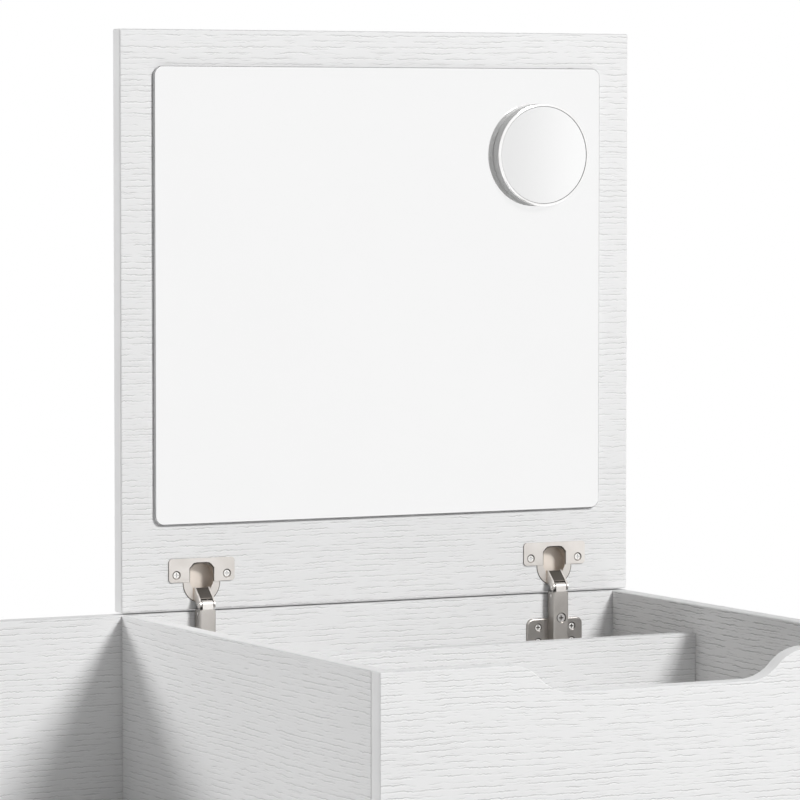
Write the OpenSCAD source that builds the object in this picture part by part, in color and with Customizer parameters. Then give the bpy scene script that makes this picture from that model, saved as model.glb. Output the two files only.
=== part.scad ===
// Vanity table with a flip-up mirror lid on a tray box, knee space below the box,
// and a lower two-drawer cabinet beside it. Millimetres, +Z up, the front faces -Y.
// The origin is on the floor, under the middle of the whole table.
// The lid is drawn standing open, which is the rest position of its hinges.

/* [Table] */
// Width of the whole table
table_w = 900; // [780:5:1100]
// Depth from the front panel's face to the back panel's rear face
table_d = 500; // [460:5:560]
// Height of the vanity box's top edges
table_h = 750; // [700:5:800]
// Thickness of the boards
board = 15; // [14:0.5:18]
// Thickness of the hardboard behind the drawers
hardboard = 3; // [2.5:0.5:5]
// Radius on the boards' long visible edges
edge_r = 1; // [0.4:0.1:1.5]
// Height of the glides under the side panels
glide_h = 8; // [5:1:15]
// Diameter of a glide
glide_d = 13; // [10:0.5:14]

/* [Vanity box] */
// Width of the vanity box
box_w = 500; // [460:5:560]
// Height of the vanity box's front panel
front_h = 165; // [150:1:200]
// Depth of the tray below the box's top edges
tray_depth = 130; // [110:1:145]
// Thickness of the tray's divider
divider_t = 12; // [9:1:15]
// From the back panel's front face to the divider's front face
divider_y = 147; // [120:1:220]
// Drop of the divider's top edge below the box's top edges
divider_drop = 25; // [20:1:40]
// Height of the full-width back panel
back_h = 400; // [300:5:480]

/* [Finger scoops] */
// Width of a scoop along the panel's top edge
scoop_w = 272; // [200:2:300]
// Width of a scoop's flat bottom
scoop_flat = 166; // [100:2:180]
// Depth of a scoop
scoop_deep = 24; // [18:1:30]
// Width of a drawer front's scoop
drawer_scoop_w = 176; // [150:2:240]

/* [Lid and mirror] */
// Gap between the open lid's lower edge and the box top
lid_gap = 1.6; // [1.6:0.1:2.4]
// Gap between the closed lid and the box top
shut_gap = 2.4; // [2.2:0.1:3]
// How far the closed lid stands out behind the back panel
shut_over = 0.8; // [0.6:0.1:1]
// Radius of the lid's four long edges
lid_edge_r = 1.5; // [1.5:0.1:2]
// Width of the mirror
mirror_w = 438; // [380:1:440]
// Height of the mirror
mirror_h = 394; // [360:1:400]
// Thickness of the mirror glass
glass_t = 3; // [3:0.5:6]
// Thickness of the adhesive sheet behind the mirror glass
backing_t = 0.6; // [0.6:0.2:3]
// Radius of the mirror's corners
mirror_r = 8; // [4:1:14]
// From the lid's left edge to the mirror
mirror_left = 30.7; // [25:0.1:32]
// From the lid's lower edge to the mirror
mirror_up = 74.6; // [70:0.2:80]

/* [Round mirror] */
// Diameter of the round magnifying mirror
round_d = 91; // [70:1:96]
// Depth of the round mirror
round_t = 11.2; // [9:0.1:16]
// Width of the bright rim round its face
rim_w = 2.5; // [1.5:0.1:4]
// From the large mirror's right edge to the middle of the round mirror
round_in = 63; // [50:1:96]
// From the large mirror's top edge to the middle of the round mirror
round_down = 77; // [60:1:108]

/* [Cup hinges] */
// From the lid's side edges to the hinges' middles
hinge_in = 75.5; // [60:0.5:120]
// Diameter of the hinge cup's bore in the lid
cup_d = 35; // [34:0.5:36]
// From the lid's lower edge to the cup's middle
cup_up = 23.4; // [23.2:0.1:23.6]
// Thickness of the cup's flange
flange_t = 1.2; // [1:0.1:1.4]
// Width of the cup's wings
wing_w = 62.5; // [60:0.5:66]
// Distance between the cup's two screws
cup_screws = 48; // [46:0.5:50]
// Width of the hinge arm
arm_w = 15; // [14.6:0.2:16]
// Length of the arm below the box top
arm_l = 62; // [60:1:70]
// Width of the mounting plate
plate_w = 56.5; // [54:0.5:62]

/* [Cabinet and drawers] */
// Height of the cabinet's top surface
cabinet_h = 550; // [500:5:580]
// Height of the cabinet bottom's underside
bottom_z = 60; // [50:1:90]
// Gap round the drawer fronts
front_gap = 3; // [2:0.5:4]
// Thickness of the drawer boxes' sides
drawer_side_t = 12; // [10:1:15]
// Height of the drawer boxes
drawer_box_h = 140; // [110:5:160]
// Length of the drawer boxes
drawer_l = 420; // [380:5:430]
// Thickness of the drawer bottoms
drawer_bottom_t = 3; // [3:0.5:6]
// Length of the drawer runners
runner_l = 400; // [350:5:410]
// Height of a drawer runner
runner_h = 45; // [38:1:50]

/* [Hidden] */
$fn = 48;

// Colours
white_board = "whitesmoke";
bare_board = "burlywood";
nickel = "silver";
dark_nickel = "darkgray";
zinc = "lightgray";

// Places of the boards
left_x = -table_w / 2;
right_x = table_w / 2;
box_x = right_x - box_w;
front_y = -table_d / 2;
rear_y = table_d / 2;
inner_front_y = front_y + board;
inner_back_y = rear_y - board;
panel_d = inner_back_y - inner_front_y;
tray_z = table_h - tray_depth;
back_z = table_h - back_h;
cabinet_w = box_x - left_x;
cabinet_in_x = left_x + board;
cabinet_ceiling = cabinet_h - board;
cabinet_floor = bottom_z + board;
rail_z = 100;
rail_h = 100;
plinth_in = 30;
fit = 0.05;

// Dowels: half in a board's edge, the rest in the face that it meets
dowel_d = 8;
dowel_l = 30;
dowel_in_face = 10;
dowel_shift = dowel_l / 2 - dowel_in_face;
x_dir = [0, 90, 0];
y_dir = [90, 0, 0];
z_dir = [0, 0, 0];
box_panel_x = [box_x + board / 2, right_x - board / 2];
front_dowels = [for (x = box_panel_x, z = [table_h - 45, table_h - front_h + 18])
    [[x, inner_front_y + dowel_shift, z], y_dir]];
back_dowels = [for (x = box_panel_x, z = [table_h - 70, table_h - back_h / 2, back_z + 40])
    [[x, inner_back_y - dowel_shift, z], y_dir]];
left_back_dowels = [for (z = [back_z + 40, cabinet_ceiling - 40])
    [[left_x + board / 2, inner_back_y - dowel_shift, z], y_dir]];
function side_dowels(xa, xb, ys, zs) = [for (y = ys, z = zs, end = [0, 1])
    [[end == 0 ? xa + dowel_shift : xb - dowel_shift, y, z], x_dir]];
third = panel_d / 3;
tray_dowels = side_dowels(box_x + board, right_x - board, [-third, third],
    [tray_z - board / 2]);
divider_mid_y = inner_back_y - divider_y + divider_t / 2;
divider_dowels = side_dowels(box_x + board, right_x - board, [divider_mid_y],
    [table_h - divider_drop - 40]);
rail_dowels = side_dowels(box_x + board, right_x - board, [inner_back_y - board / 2],
    [rail_z + 25, rail_z + rail_h - 25]);
bottom_dowels = side_dowels(cabinet_in_x, box_x, [-third, third], [bottom_z + board / 2]);
plinth_dowels = side_dowels(cabinet_in_x, box_x, [inner_front_y + plinth_in + board / 2],
    [(glide_h + bottom_z) / 2]);
top_side_dowels = [for (y = [-third, third])
    [[box_x - dowel_shift, y, cabinet_h - board / 2], x_dir]];
top_left_dowels = [for (y = [-third, third])
    [[left_x + board / 2, y, cabinet_ceiling - dowel_shift], z_dir]];
all_dowels = concat(front_dowels, back_dowels, left_back_dowels, tray_dowels,
    divider_dowels, rail_dowels, bottom_dowels, plinth_dowels, top_side_dowels,
    top_left_dowels);

// Cam locks: a round lock in the underside of a board draws in a bolt from the side panel
cam_d = 15;
cam_h = 12;
cam_in = 34;
cam_bolt_d = 7;
cam_bolt_in = 9;
cam_seat = 4;
function cams(xa, xb, z) = [for (y = [-third / 3, third / 3], end = [0, 1])
    [end == 0 ? xa : xb, y, z, end == 0 ? 1 : -1]];
all_cams = concat(cams(box_x + board, right_x - board, tray_z - board),
    cams(cabinet_in_x, box_x, bottom_z));

function within(p, lo, hi, r) = p[0] > lo[0] - r && p[0] < hi[0] + r && p[1] > lo[1] - r
    && p[1] < hi[1] + r && p[2] > lo[2] - r && p[2] < hi[2] + r;

// Hinge geometry, in the plane across the hinge: first number towards the back from the
// back panel's front face, second number up from the box top.
// The pole is the point about which a single turn would take the open lid to shut.
pole = [(board + shut_over + lid_gap - shut_gap) / 2,
    (board + shut_over + lid_gap + shut_gap) / 2];
outer_pivot = [-10, 7];
inner_pivot = [-9, -1];
// A link's pivot in the cup lies where it is as far from the arm's pivot with the lid
// shut as with the lid open: 45 degrees before the arm's pivot, seen from the pole.
function cup_pivot(arm, reach) =
    let (turn = atan2(arm[1] - pole[1], arm[0] - pole[0]) - 45)
    pole + reach * [cos(turn), sin(turn)];
inner_cup_pivot = cup_pivot(inner_pivot, 4.5);
outer_cup_pivot = cup_pivot(outer_pivot, 5.5);
arm_front = 14;
arm_back = 2.6;
sheet = 1.2;
arm_top = 2.6;
tongue_w = 10.2;
knuckle_r = 3.6;
link_pin_r = 1.25;
cup_pin_r = 1;
link_w = 8;
cheek_t = 1.6;
cheek_gap = 0.7;
link_eye_r = 1.85;
cheek_x = tongue_w / 2 + cheek_gap;
web_low = [-9.2, 11.9];
web_top = [-0.6, 19.8];
inner_elbow = [-1.8, 9.6];
cup_r = cup_d / 2;
cup_wall = 0.7;
cup_deep = 12.3;
cup_z = lid_gap + cup_up;
flange_r = 17.7;
window_w = 23.5;
lug_x = 4.3;
lug_t = 1.2;
lug_r = 1.9;
notch_x = lug_x + 0.3;
wing_h = 20.4;
wing_up = 0.9;
wing_r = 3;
cup_screw_up = 7.2;
cup_screw_l = 10;
plate_h = 30;
plate_top = -22;
plate_t = 2.5;
plate_boss_w = 11.8;
plate_screw_x = 17.2;
plate_screw_z = [-8, -21];
boss_over = 5;
hinge_x = [box_x + hinge_in, right_x - hinge_in];

// Cross-recessed screws
screw_d = 3.5;
screw_head_d = 6.6;
screw_l = 12;
hinge_head_d = 5.6;
head_sunk = 0.6;

// Lid
lid_h = table_d;
lid_z = table_h + lid_gap;
mirror_front_y = inner_back_y - backing_t - glass_t;
mirror_x = box_x + mirror_left;
mirror_z = lid_z + mirror_up;
round_at = [mirror_x + mirror_w - round_in, mirror_front_y, mirror_z + mirror_h - round_down];
grip_pad_t = 0.6;
shell_t = 2;
rim_t = 1.8;
round_glass_t = 2.7;
glass_sunk = 0.5;
bowl_deep = 1.2;
bowl_steps = 10;
scoop_steps = 9;

// Drawers
runner_gap = 12.7;
runner_y = inner_front_y + 2;
runner_play = 0.4;
runner_sheet = 1.2;
drawer_w = cabinet_w - board - 2 * runner_gap;
drawer_x = cabinet_in_x + runner_gap;
drawer_fronts_z = bottom_z + front_gap;
drawer_front_h = (cabinet_ceiling - front_gap - drawer_fronts_z - front_gap) / 2;
drawer_z = [drawer_fronts_z + drawer_front_h + front_gap, drawer_fronts_z];
drawer_box_up = 28;
drawer_groove_up = 10;
drawer_groove_in = 6;
runner_up = drawer_box_up + 0.45 * drawer_box_h;
runner_step = runner_sheet + runner_play;
runner_screw_y = [35, runner_l / 2, runner_l - 35];
front_screw_l = 22;

// ---- Shapes that repeat ----

// A bar with round ends between two points of a drawing. Its sides lie a hair inside the
// two circles, so that they cross them at a clear angle.
module bar2d(p, q, r) {
    along = q - p;
    half = r - 0.004;
    translate(p) circle(r = r);
    translate(q) circle(r = r);
    translate(p) rotate(atan2(along[1], along[0])) translate([0, -half])
        square([norm(along), 2 * half]);
}

// A rectangle with round corners, from its lower left corner
module round_rect(w, h, r) {
    translate([r, 0]) square([w - 2 * r, h]);
    translate([0, r]) square([w, h - 2 * r]);
    for (x = [r, w - r], y = [r, h - r]) translate([x, y]) circle(r = r);
}

// Turns a shape's left side to its right, or leaves it as it is
module flipped(on) {
    if (on) mirror([1, 0, 0]) children();
    else children();
}

// Stands a drawing of (back, up) across the hinge, w wide about the plane X = 0
module across(w) {
    rotate([90, 0, 90]) linear_extrude(w, center = true) children();
}

// Stands a drawing of (X, Z) up in the plane Y = y and gives it a thickness towards +Y
module upright(y, t) {
    translate([0, y + t, 0]) rotate([90, 0, 0]) linear_extrude(t) children();
}

module dowel_bores(lo, hi) {
    for (d = all_dowels) if (within(d[0], lo, hi, dowel_l / 2 - 1))
        translate(d[0]) rotate(d[1])
            cylinder(d = dowel_d + 2 * fit, h = dowel_l + 2 * fit, center = true);
}

module cam_bores(lo, hi) {
    for (c = all_cams) if (within([c[0], c[1], c[2] + board / 2], lo, hi, 1)) {
        translate([c[0] + c[3] * cam_in, c[1], c[2] - fit])
            cylinder(d = cam_d + 2 * fit, h = cam_h + 2 * fit);
        translate([c[0] + c[3] * (cam_in - cam_bolt_in) / 2, c[1], c[2] + board / 2])
            rotate(x_dir)
                cylinder(d = cam_bolt_d + 2 * fit, h = cam_in + cam_bolt_in, center = true);
    }
}

// A board between two corners, drilled for the dowels and cam locks that reach it
module drilled(lo, hi) {
    difference() {
        children();
        dowel_bores(lo, hi);
        cam_bores(lo, hi);
    }
}

module plain_board(lo, hi) {
    color(white_board) drilled(lo, hi) translate(lo) cube(hi - lo);
}

// Rounds the top edges of an upright board that runs along Y
module side_outline(x, z0, z1) {
    upright(inner_front_y, panel_d) translate([x, z0]) {
        square([board, z1 - z0 - edge_r]);
        translate([edge_r, 0]) square([board - 2 * edge_r, z1 - z0]);
        for (cx = [edge_r, board - edge_r]) translate([cx, z1 - z0 - edge_r]) circle(r = edge_r);
    }
}

// Right half of a scoop's lower line: flat, then an S of two equal arcs up to the top edge
function scoop_line(half_flat, run, rise) =
    let (r = (run * run + rise * rise) / (4 * rise), turn = asin(run / 2 / r),
        arc = [for (i = [0:scoop_steps]) turn * i / scoop_steps])
    concat([for (a = arc) [half_flat + r * sin(a), r * (1 - cos(a)) - rise]],
        [for (i = [scoop_steps - 1:-1:0])
            [half_flat + run - r * sin(arc[i]), -r * (1 - cos(arc[i]))]]);
module scoop2d(mid, top, w) {
    run = (scoop_w - scoop_flat) / 2;
    right = scoop_line(w / 2 - run, run, scoop_deep);
    left = [for (i = [len(right) - 1:-1:0]) [-right[i][0], right[i][1]]];
    translate([mid, top]) polygon(concat([[-w / 2, 1]], left, right, [[w / 2, 1]]));
}

// A front board with its scoop, w wide and h high from its lower left corner
module scooped_front(x, z, w, h, scoop) {
    upright(front_y, board) difference() {
        translate([x, z]) square([w, h]);
        scoop2d(x + w / 2, z + h, scoop);
    }
}

// A countersunk screw, its head's flat top at the origin and its point towards -Z
module screw(l = screw_l, d = screw_d, head = screw_head_d) {
    sink = (head - d) / 2;
    difference() {
        union() {
            translate([0, 0, -sink]) cylinder(d1 = d, d2 = head, h = sink);
            translate([0, 0, -l]) cylinder(d = d, h = l - sink + fit);
        }
        for (a = [0, 90]) rotate(a) translate([-head / 4, -head / 16, -sink])
            cube([head / 2, head / 8, sink + 1]);
    }
}

module screw_bore(l = screw_l, d = screw_d, head = screw_head_d) {
    sink = (head - d) / 2;
    translate([0, 0, -sink - fit]) cylinder(d1 = d + 2 * fit, d2 = head + 2 * fit, h = sink + fit);
    translate([0, 0, -l - fit]) cylinder(d = d + 2 * fit, h = l);
    cylinder(d = head + 2 * fit, h = 4);
}

// A hinge's screw, whose head lies a little way down in its countersink
module sunk_screw(l = screw_l) {
    translate([0, 0, -head_sunk]) screw(l, head = hinge_head_d);
}
module sunk_screw_bore(l = screw_l) {
    d = hinge_head_d + 2 * fit;
    translate([0, 0, -head_sunk]) screw_bore(l, head = hinge_head_d);
    translate([0, 0, -head_sunk]) cylinder(d1 = d, d2 = d + 2 * head_sunk, h = head_sunk);
    cylinder(d = d + 2 * head_sunk, h = 4);
}

// Turns a screw so that its head faces the front
module heads_front() {
    rotate([90, 0, 0]) children();
}

// ---- Table boards ----

module back_panel() {
    lo = [left_x, inner_back_y, back_z];
    hi = [right_x, rear_y, table_h];
    color(white_board) difference() {
        drilled(lo, hi) translate(lo) cube(hi - lo);
        at_hinges() plate_screws_at() sunk_screw_bore();
    }
}

module left_side_panel() {
    lo = [left_x, inner_front_y, glide_h];
    hi = [cabinet_in_x, inner_back_y, cabinet_ceiling];
    color(white_board) difference() {
        drilled(lo, hi) translate(lo) cube(hi - lo);
        glide_places() glide_pin(fit);
        cabinet_runner_screw_places() screw_bore();
    }
}

module middle_side_panel() {
    lo = [box_x, inner_front_y, glide_h];
    hi = [box_x + board, inner_back_y, table_h];
    color(white_board) difference() {
        drilled(lo, hi) side_outline(box_x, glide_h, table_h);
        glide_places() glide_pin(fit);
        cabinet_runner_screw_places() screw_bore();
    }
}

module right_side_panel() {
    lo = [right_x - board, inner_front_y, glide_h];
    hi = [right_x, inner_back_y, table_h];
    color(white_board) difference() {
        drilled(lo, hi) side_outline(right_x - board, glide_h, table_h);
        glide_places() glide_pin(fit);
    }
}

module vanity_front_panel() {
    lo = [box_x, front_y, table_h - front_h];
    hi = [right_x, inner_front_y, table_h];
    color(white_board) drilled(lo, hi)
        scooped_front(box_x, lo[2], box_w, front_h, scoop_w);
}

module tray_bottom() {
    plain_board([box_x + board, inner_front_y, tray_z - board],
        [right_x - board, inner_back_y, tray_z]);
}

module tray_divider() {
    y = inner_back_y - divider_y;
    plain_board([box_x + board, y, tray_z],
        [right_x - board, y + divider_t, table_h - divider_drop]);
}

module cabinet_top() {
    plain_board([left_x, front_y, cabinet_ceiling], [box_x, inner_back_y, cabinet_h]);
}

module cabinet_bottom() {
    plain_board([cabinet_in_x, inner_front_y, bottom_z], [box_x, inner_back_y, cabinet_floor]);
}

module cabinet_back() {
    color(bare_board) difference() {
        translate([left_x, inner_back_y, bottom_z])
            cube([cabinet_w + board, hardboard, back_z - bottom_z]);
        back_pin_places() cylinder(r = back_pin_r + fit, h = back_pin_l * 2, center = true);
    }
}

module plinth_board() {
    y = inner_front_y + plinth_in;
    plain_board([cabinet_in_x, y, glide_h], [box_x, y + board, bottom_z]);
}

module knee_rail() {
    plain_board([box_x + board, inner_back_y - board, rail_z],
        [right_x - board, inner_back_y, rail_z + rail_h]);
}

// Nail-in glides under the three side panels
glide_pin_d = 4;
glide_pin_l = 14;
module glide_places() {
    for (x = [left_x + board / 2, box_x + board / 2, right_x - board / 2],
         y = [inner_front_y + 40, inner_back_y - 40]) translate([x, y, glide_h]) children();
}
module glide_pin(extra = 0) {
    translate([0, 0, -1]) cylinder(d = glide_pin_d + 2 * extra, h = glide_pin_l + 1 + extra);
}
module glides() {
    foot_r = 1.5;
    color("dimgray") glide_places() {
        translate([0, 0, -glide_h]) rotate_extrude() {
            square([glide_d / 2 - foot_r, glide_h]);
            translate([0, foot_r]) square([glide_d / 2, glide_h - foot_r]);
            translate([glide_d / 2 - foot_r, foot_r]) circle(r = foot_r);
        }
        glide_pin();
    }
}

module dowels() {
    color(bare_board) for (d = all_dowels) translate(d[0]) rotate(d[1])
        cylinder(d = dowel_d, h = dowel_l, center = true);
}

module cam_locks() {
    color(dark_nickel) for (c = all_cams) translate([c[0] + c[3] * cam_in, c[1], c[2]])
        difference() {
            cylinder(d = cam_d, h = cam_h);
            translate([-c[3] * cam_d / 2, 0, board / 2]) rotate(x_dir)
                cylinder(d = cam_bolt_d + 4 * fit, h = 2 * cam_seat, center = true);
            for (a = [0, 90]) rotate(a) translate([-cam_d / 4, -0.8, -1]) cube([cam_d / 2, 1.6, 3]);
        }
}

module cam_bolts() {
    bolt_l = cam_in - cam_d / 2 + cam_seat - 0.3;
    color(zinc) for (c = all_cams) translate([c[0], c[1], c[2] + board / 2])
        rotate([0, 90 * c[3], 0]) translate([0, 0, -cam_bolt_in])
            cylinder(d = cam_bolt_d, h = bolt_l + cam_bolt_in);
}

// Pins that nail the hardboard to the panels' rear edges
back_pin_r = 0.8;
back_pin_l = 12;
module back_pin_places() {
    for (x = [left_x + board / 2, box_x + board / 2], z = [0, 1, 2, 3])
        translate([x, inner_back_y + hardboard,
            bottom_z + 20 + z * (back_z - bottom_z - 40) / 3]) rotate([-90, 0, 0]) children();
}
module back_panel_pins() {
    color(nickel) back_pin_places() {
        cylinder(r = 1.8, h = 0.6);
        translate([0, 0, -hardboard]) cylinder(r = back_pin_r, h = hardboard + fit);
    }
}

// ---- Cup hinges ----

module at_hinges() {
    for (x = hinge_x) at_hinge(x) children();
}
module at_hinge(x) {
    translate([x, inner_back_y, table_h]) children();
}

module plate_screws_at() {
    for (x = [-plate_screw_x, plate_screw_x], z = plate_screw_z)
        translate([x, -plate_t, plate_top + z]) heads_front() children();
}

// The mounting plate: two screwed wings and a raised middle that the arm sits on
module hinge_plate(x) {
    color(dark_nickel) at_hinge(x) difference() {
        union() {
            upright(-plate_t, plate_t) translate([-plate_w / 2, plate_top - plate_h])
                round_rect(plate_w, plate_h, 6);
            translate([-plate_boss_w / 2, -boss_front, plate_top - plate_h])
                cube([plate_boss_w, boss_front, plate_h + boss_over]);
        }
        plate_screws_at() sunk_screw_bore();
        arm_screws_at() cylinder(d = screw_d + 4 * fit, h = 2 * arm_front, center = true);
    }
}
module hinge_plate_left() { hinge_plate(hinge_x[0]); }
module hinge_plate_right() { hinge_plate(hinge_x[1]); }

module hinge_plate_screws() {
    color(zinc) at_hinges() plate_screws_at() sunk_screw();
}

// The arm: a folded channel with a narrow tongue that is rolled round the outer pivot
module hinge_arm(x) {
    color(nickel) at_hinge(x) difference() {
        union() {
            difference() {
                across(arm_w) translate([-arm_front, -arm_l])
                    square([arm_front - arm_back, arm_l + arm_top]);
                across(arm_w - 2 * sheet) translate([-arm_front + sheet, -arm_l - 1])
                    square([arm_front, arm_l + arm_top + 2]);
            }
            across(tongue_w) {
                bar2d([-arm_front + sheet / 2 + 0.2, arm_top - 2],
                    outer_pivot + [-knuckle_r + sheet / 2, 0], sheet / 2);
                translate(outer_pivot) circle(r = knuckle_r);
            }
        }
        across(arm_w + 2) {
            translate(outer_pivot) circle(r = link_pin_r + fit);
            translate(inner_pivot) circle(r = link_pin_r + fit);
        }
        arm_screws_at() cylinder(d = screw_d + 4 * fit, h = 2 * arm_front, center = true);
        low_screw_at() cylinder(d = arm_opening, h = 2 * (arm_front - boss_front), center = true);
    }
}
module hinge_arm_left() { hinge_arm(hinge_x[0]); }
module hinge_arm_right() { hinge_arm(hinge_x[1]); }

arm_screw_head = 7.6;
arm_head_t = 1.2;
arm_opening = 9.4;
boss_front = arm_front - sheet - 0.3;
arm_screw_z = [-21, -44];
module arm_screws_at() {
    for (z = arm_screw_z) translate([0, -arm_front, z]) heads_front() children();
}
module low_screw_at() {
    translate([0, -arm_front, arm_screw_z[0]]) heads_front() children();
}

// The screws between arm and plate: one on the plate, inside the arm's opening, and one
// whose head holds the arm down
module arm_fixing_screws() {
    color(zinc) at_hinges() {
        low_screw_at() arm_screw(boss_front - arm_front);
        translate([0, 0, arm_screw_z[1] - arm_screw_z[0]]) low_screw_at() arm_screw(0);
    }
}
module arm_screw(seat) {
    difference() {
        union() {
            translate([0, 0, seat]) cylinder(d = arm_screw_head, h = arm_head_t);
            translate([0, 0, plate_t - arm_front])
                cylinder(d = screw_d, h = arm_front - plate_t + seat + fit);
        }
        for (a = [0, 90]) rotate(a) translate([-2.2, -0.5, seat + 0.3]) cube([4.4, 1, 2]);
    }
}

// Rivets through the arm's knuckle and through its channel
module hinge_arm_pins() {
    outer_l = 2 * (cheek_x + cheek_t) + 0.8;
    color(zinc) at_hinges() {
        across(outer_l) translate(outer_pivot) circle(r = link_pin_r);
        across(arm_w + 1) translate(inner_pivot) circle(r = link_pin_r);
    }
}

// The outer link: two cheeks outside the tongue, joined by a sloping web
open_slot = [outer_cup_pivot + [0.2, -0.2], outer_cup_pivot + [-1, 0.4]];
cheek_corners = [outer_pivot + [-2.6, 1.6], web_low + [-0.8, 0.8], web_top + [-0.2, 1.4],
    web_top + [1.2, 0.6], outer_cup_pivot + [1.5, 0.7], outer_cup_pivot + [-0.8, -1.1],
    outer_pivot + [2.6, -0.6]];
module outer_link(x) {
    color(nickel) at_hinge(x) {
        for (s = [-1, 1]) translate([s * (cheek_x + cheek_t / 2), 0, 0]) across(cheek_t)
            difference() {
                union() {
                    translate(outer_pivot) circle(r = knuckle_r);
                    bar2d(open_slot[0], open_slot[1], link_eye_r);
                    polygon(cheek_corners);
                }
                translate(outer_pivot) circle(r = link_pin_r + fit);
                bar2d(open_slot[0], open_slot[1], cup_pin_r + 0.2);
            }
        across(2 * cheek_x + 1) bar2d(web_low, web_top, 0.75);
    }
}
module outer_link_left() { outer_link(hinge_x[0]); }
module outer_link_right() { outer_link(hinge_x[1]); }

// The inner link: a cranked bar that carries the lid, from the channel to the cup
module inner_link(x) {
    color(dark_nickel) at_hinge(x) across(link_w) difference() {
        union() {
            bar2d(inner_pivot, inner_elbow, 1.2);
            bar2d(inner_elbow, inner_cup_pivot, 1.2);
            translate(inner_pivot) circle(r = 2.1);
            translate(inner_cup_pivot) circle(r = 1.7);
        }
        translate(inner_pivot) circle(r = link_pin_r + fit);
        translate(inner_cup_pivot) circle(r = cup_pin_r + fit);
    }
}
module inner_link_left() { inner_link(hinge_x[0]); }
module inner_link_right() { inner_link(hinge_x[1]); }

// ---- Lid ----

module cup_places() {
    for (x = hinge_x) translate([x, inner_back_y, table_h + cup_z]) children();
}
module cup_screws_at() {
    for (x = [-cup_screws / 2, cup_screws / 2])
        translate([x, -flange_t, cup_screw_up]) heads_front() children();
}

// The lid board, with its four long edges rounded
module lid_panel() {
    color(white_board) difference() {
        intersection() {
            upright(inner_back_y, board) translate([box_x, lid_z]) square([box_w, lid_h]);
            translate([0, inner_back_y, lid_z]) rotate([90, 0, 90])
                linear_extrude(table_w * 2, center = true)
                    round_rect(board, lid_h, lid_edge_r);
        }
        cup_places() rotate([-90, 0, 0]) translate([0, 0, -1])
            cylinder(d = cup_d + 2 * fit, h = cup_deep + cup_wall + fit + 1, $fn = 96);
        cup_places() cup_screws_at() sunk_screw_bore(cup_screw_l);
    }
}

// The cup's flange: two wings and, below them, a half moon at either side of the links
module flange2d() {
    slot = cheek_x + cheek_t + 0.4;
    difference() {
        union() {
            circle(r = flange_r, $fn = 96);
            translate([-wing_w / 2, wing_up]) round_rect(wing_w, wing_h, wing_r);
        }
        intersection() {
            circle(r = cup_r - cup_wall, $fn = 96);
            polygon([[-window_w / 2, cup_r], [-window_w / 2, -1], [-slot, -6.5], [-slot, -cup_r],
                [slot, -cup_r], [slot, -6.5], [window_w / 2, -1], [window_w / 2, cup_r]]);
        }
        translate([-slot, -flange_r - 1]) square([2 * slot, flange_r / 2]);
    }
}
// The pressed cup, with notches in its lower wall where the links pass
module cup_shell() {
    slot = cheek_x + cheek_t + 0.4;
    upright(-flange_t, flange_t) flange2d();
    difference() {
        rotate([-90, 0, 0]) cylinder(r = cup_r, h = cup_deep + cup_wall, $fn = 96);
        translate([0, -1, 0]) rotate([-90, 0, 0])
            cylinder(r = cup_r - cup_wall, h = cup_deep + 1, $fn = 96);
        translate([-slot, -1, -cup_r - 1]) cube([2 * slot, 2.5, cup_r / 2]);
        translate([-notch_x, -1, -cup_r - 1]) cube([2 * notch_x, 3.5, cup_r / 2]);
    }
}
// Two lugs on the lower wall, between the inner link and the outer link's cheeks
module cup_lugs() {
    inner = inner_cup_pivot - [0, cup_z];
    outer = outer_cup_pivot - [0, cup_z];
    for (s = [-1, 1]) translate([s * (lug_x + lug_t / 2), 0, 0]) across(lug_t) {
        bar2d(inner, outer, lug_r);
        translate([inner[0] - lug_r, -cup_r + 1]) square([2.2 * lug_r, inner[1] + cup_r - 1]);
    }
}
module hinge_cup(x) {
    color(nickel) translate([x, inner_back_y, table_h + cup_z]) difference() {
        union() {
            cup_shell();
            cup_lugs();
        }
        cup_screws_at() sunk_screw_bore(cup_screw_l);
        pins_in_cup(fit);
    }
}
module hinge_cup_left() { hinge_cup(hinge_x[0]); }
module hinge_cup_right() { hinge_cup(hinge_x[1]); }

// Holes and pins across the cup: one pin between the lugs for the inner link, and a pin
// at either side, from the lug to the cup's wall, for the outer link
module pins_in_cup(extra = 0) {
    inner = inner_cup_pivot - [0, cup_z];
    outer = outer_cup_pivot - [0, cup_z];
    wall_x = sqrt(pow(cup_r, 2) - pow(cup_pin_r - outer[1], 2)) - fit;
    across(2 * (lug_x + lug_t)) translate(inner) circle(r = cup_pin_r + extra);
    for (s = [-1, 1]) translate([s * (wall_x + lug_x) / 2, 0, 0])
        across(wall_x - lug_x + 2 * extra) translate(outer) circle(r = cup_pin_r + extra);
}
module hinge_cup_pins() {
    color(zinc) cup_places() pins_in_cup();
}
module hinge_cup_screws() {
    color(zinc) cup_places() cup_screws_at() sunk_screw(cup_screw_l);
}

module mirror_backing() {
    inset = 0.4;
    color("gray") upright(inner_back_y - backing_t, backing_t)
        translate([mirror_x + inset, mirror_z + inset])
            round_rect(mirror_w - 2 * inset, mirror_h - 2 * inset, mirror_r - inset);
}

module mirror_glass() {
    color("azure") upright(mirror_front_y, glass_t) translate([mirror_x, mirror_z])
        round_rect(mirror_w, mirror_h, mirror_r);
}

// The round magnifying mirror, turned about an axis that points out of the lid
module round_part() {
    translate(round_at) rotate([90, 0, 0]) rotate_extrude($fn = 128) children();
}
module round_mirror_grip() {
    color("dimgray") round_part() square([round_d / 2 - 6, grip_pad_t]);
}
// The cover that closes the housing's back
module round_mirror_base() {
    color("gainsboro") round_part() translate([0, grip_pad_t])
        square([round_d / 2 - shell_t - fit, shell_t]);
}
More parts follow.
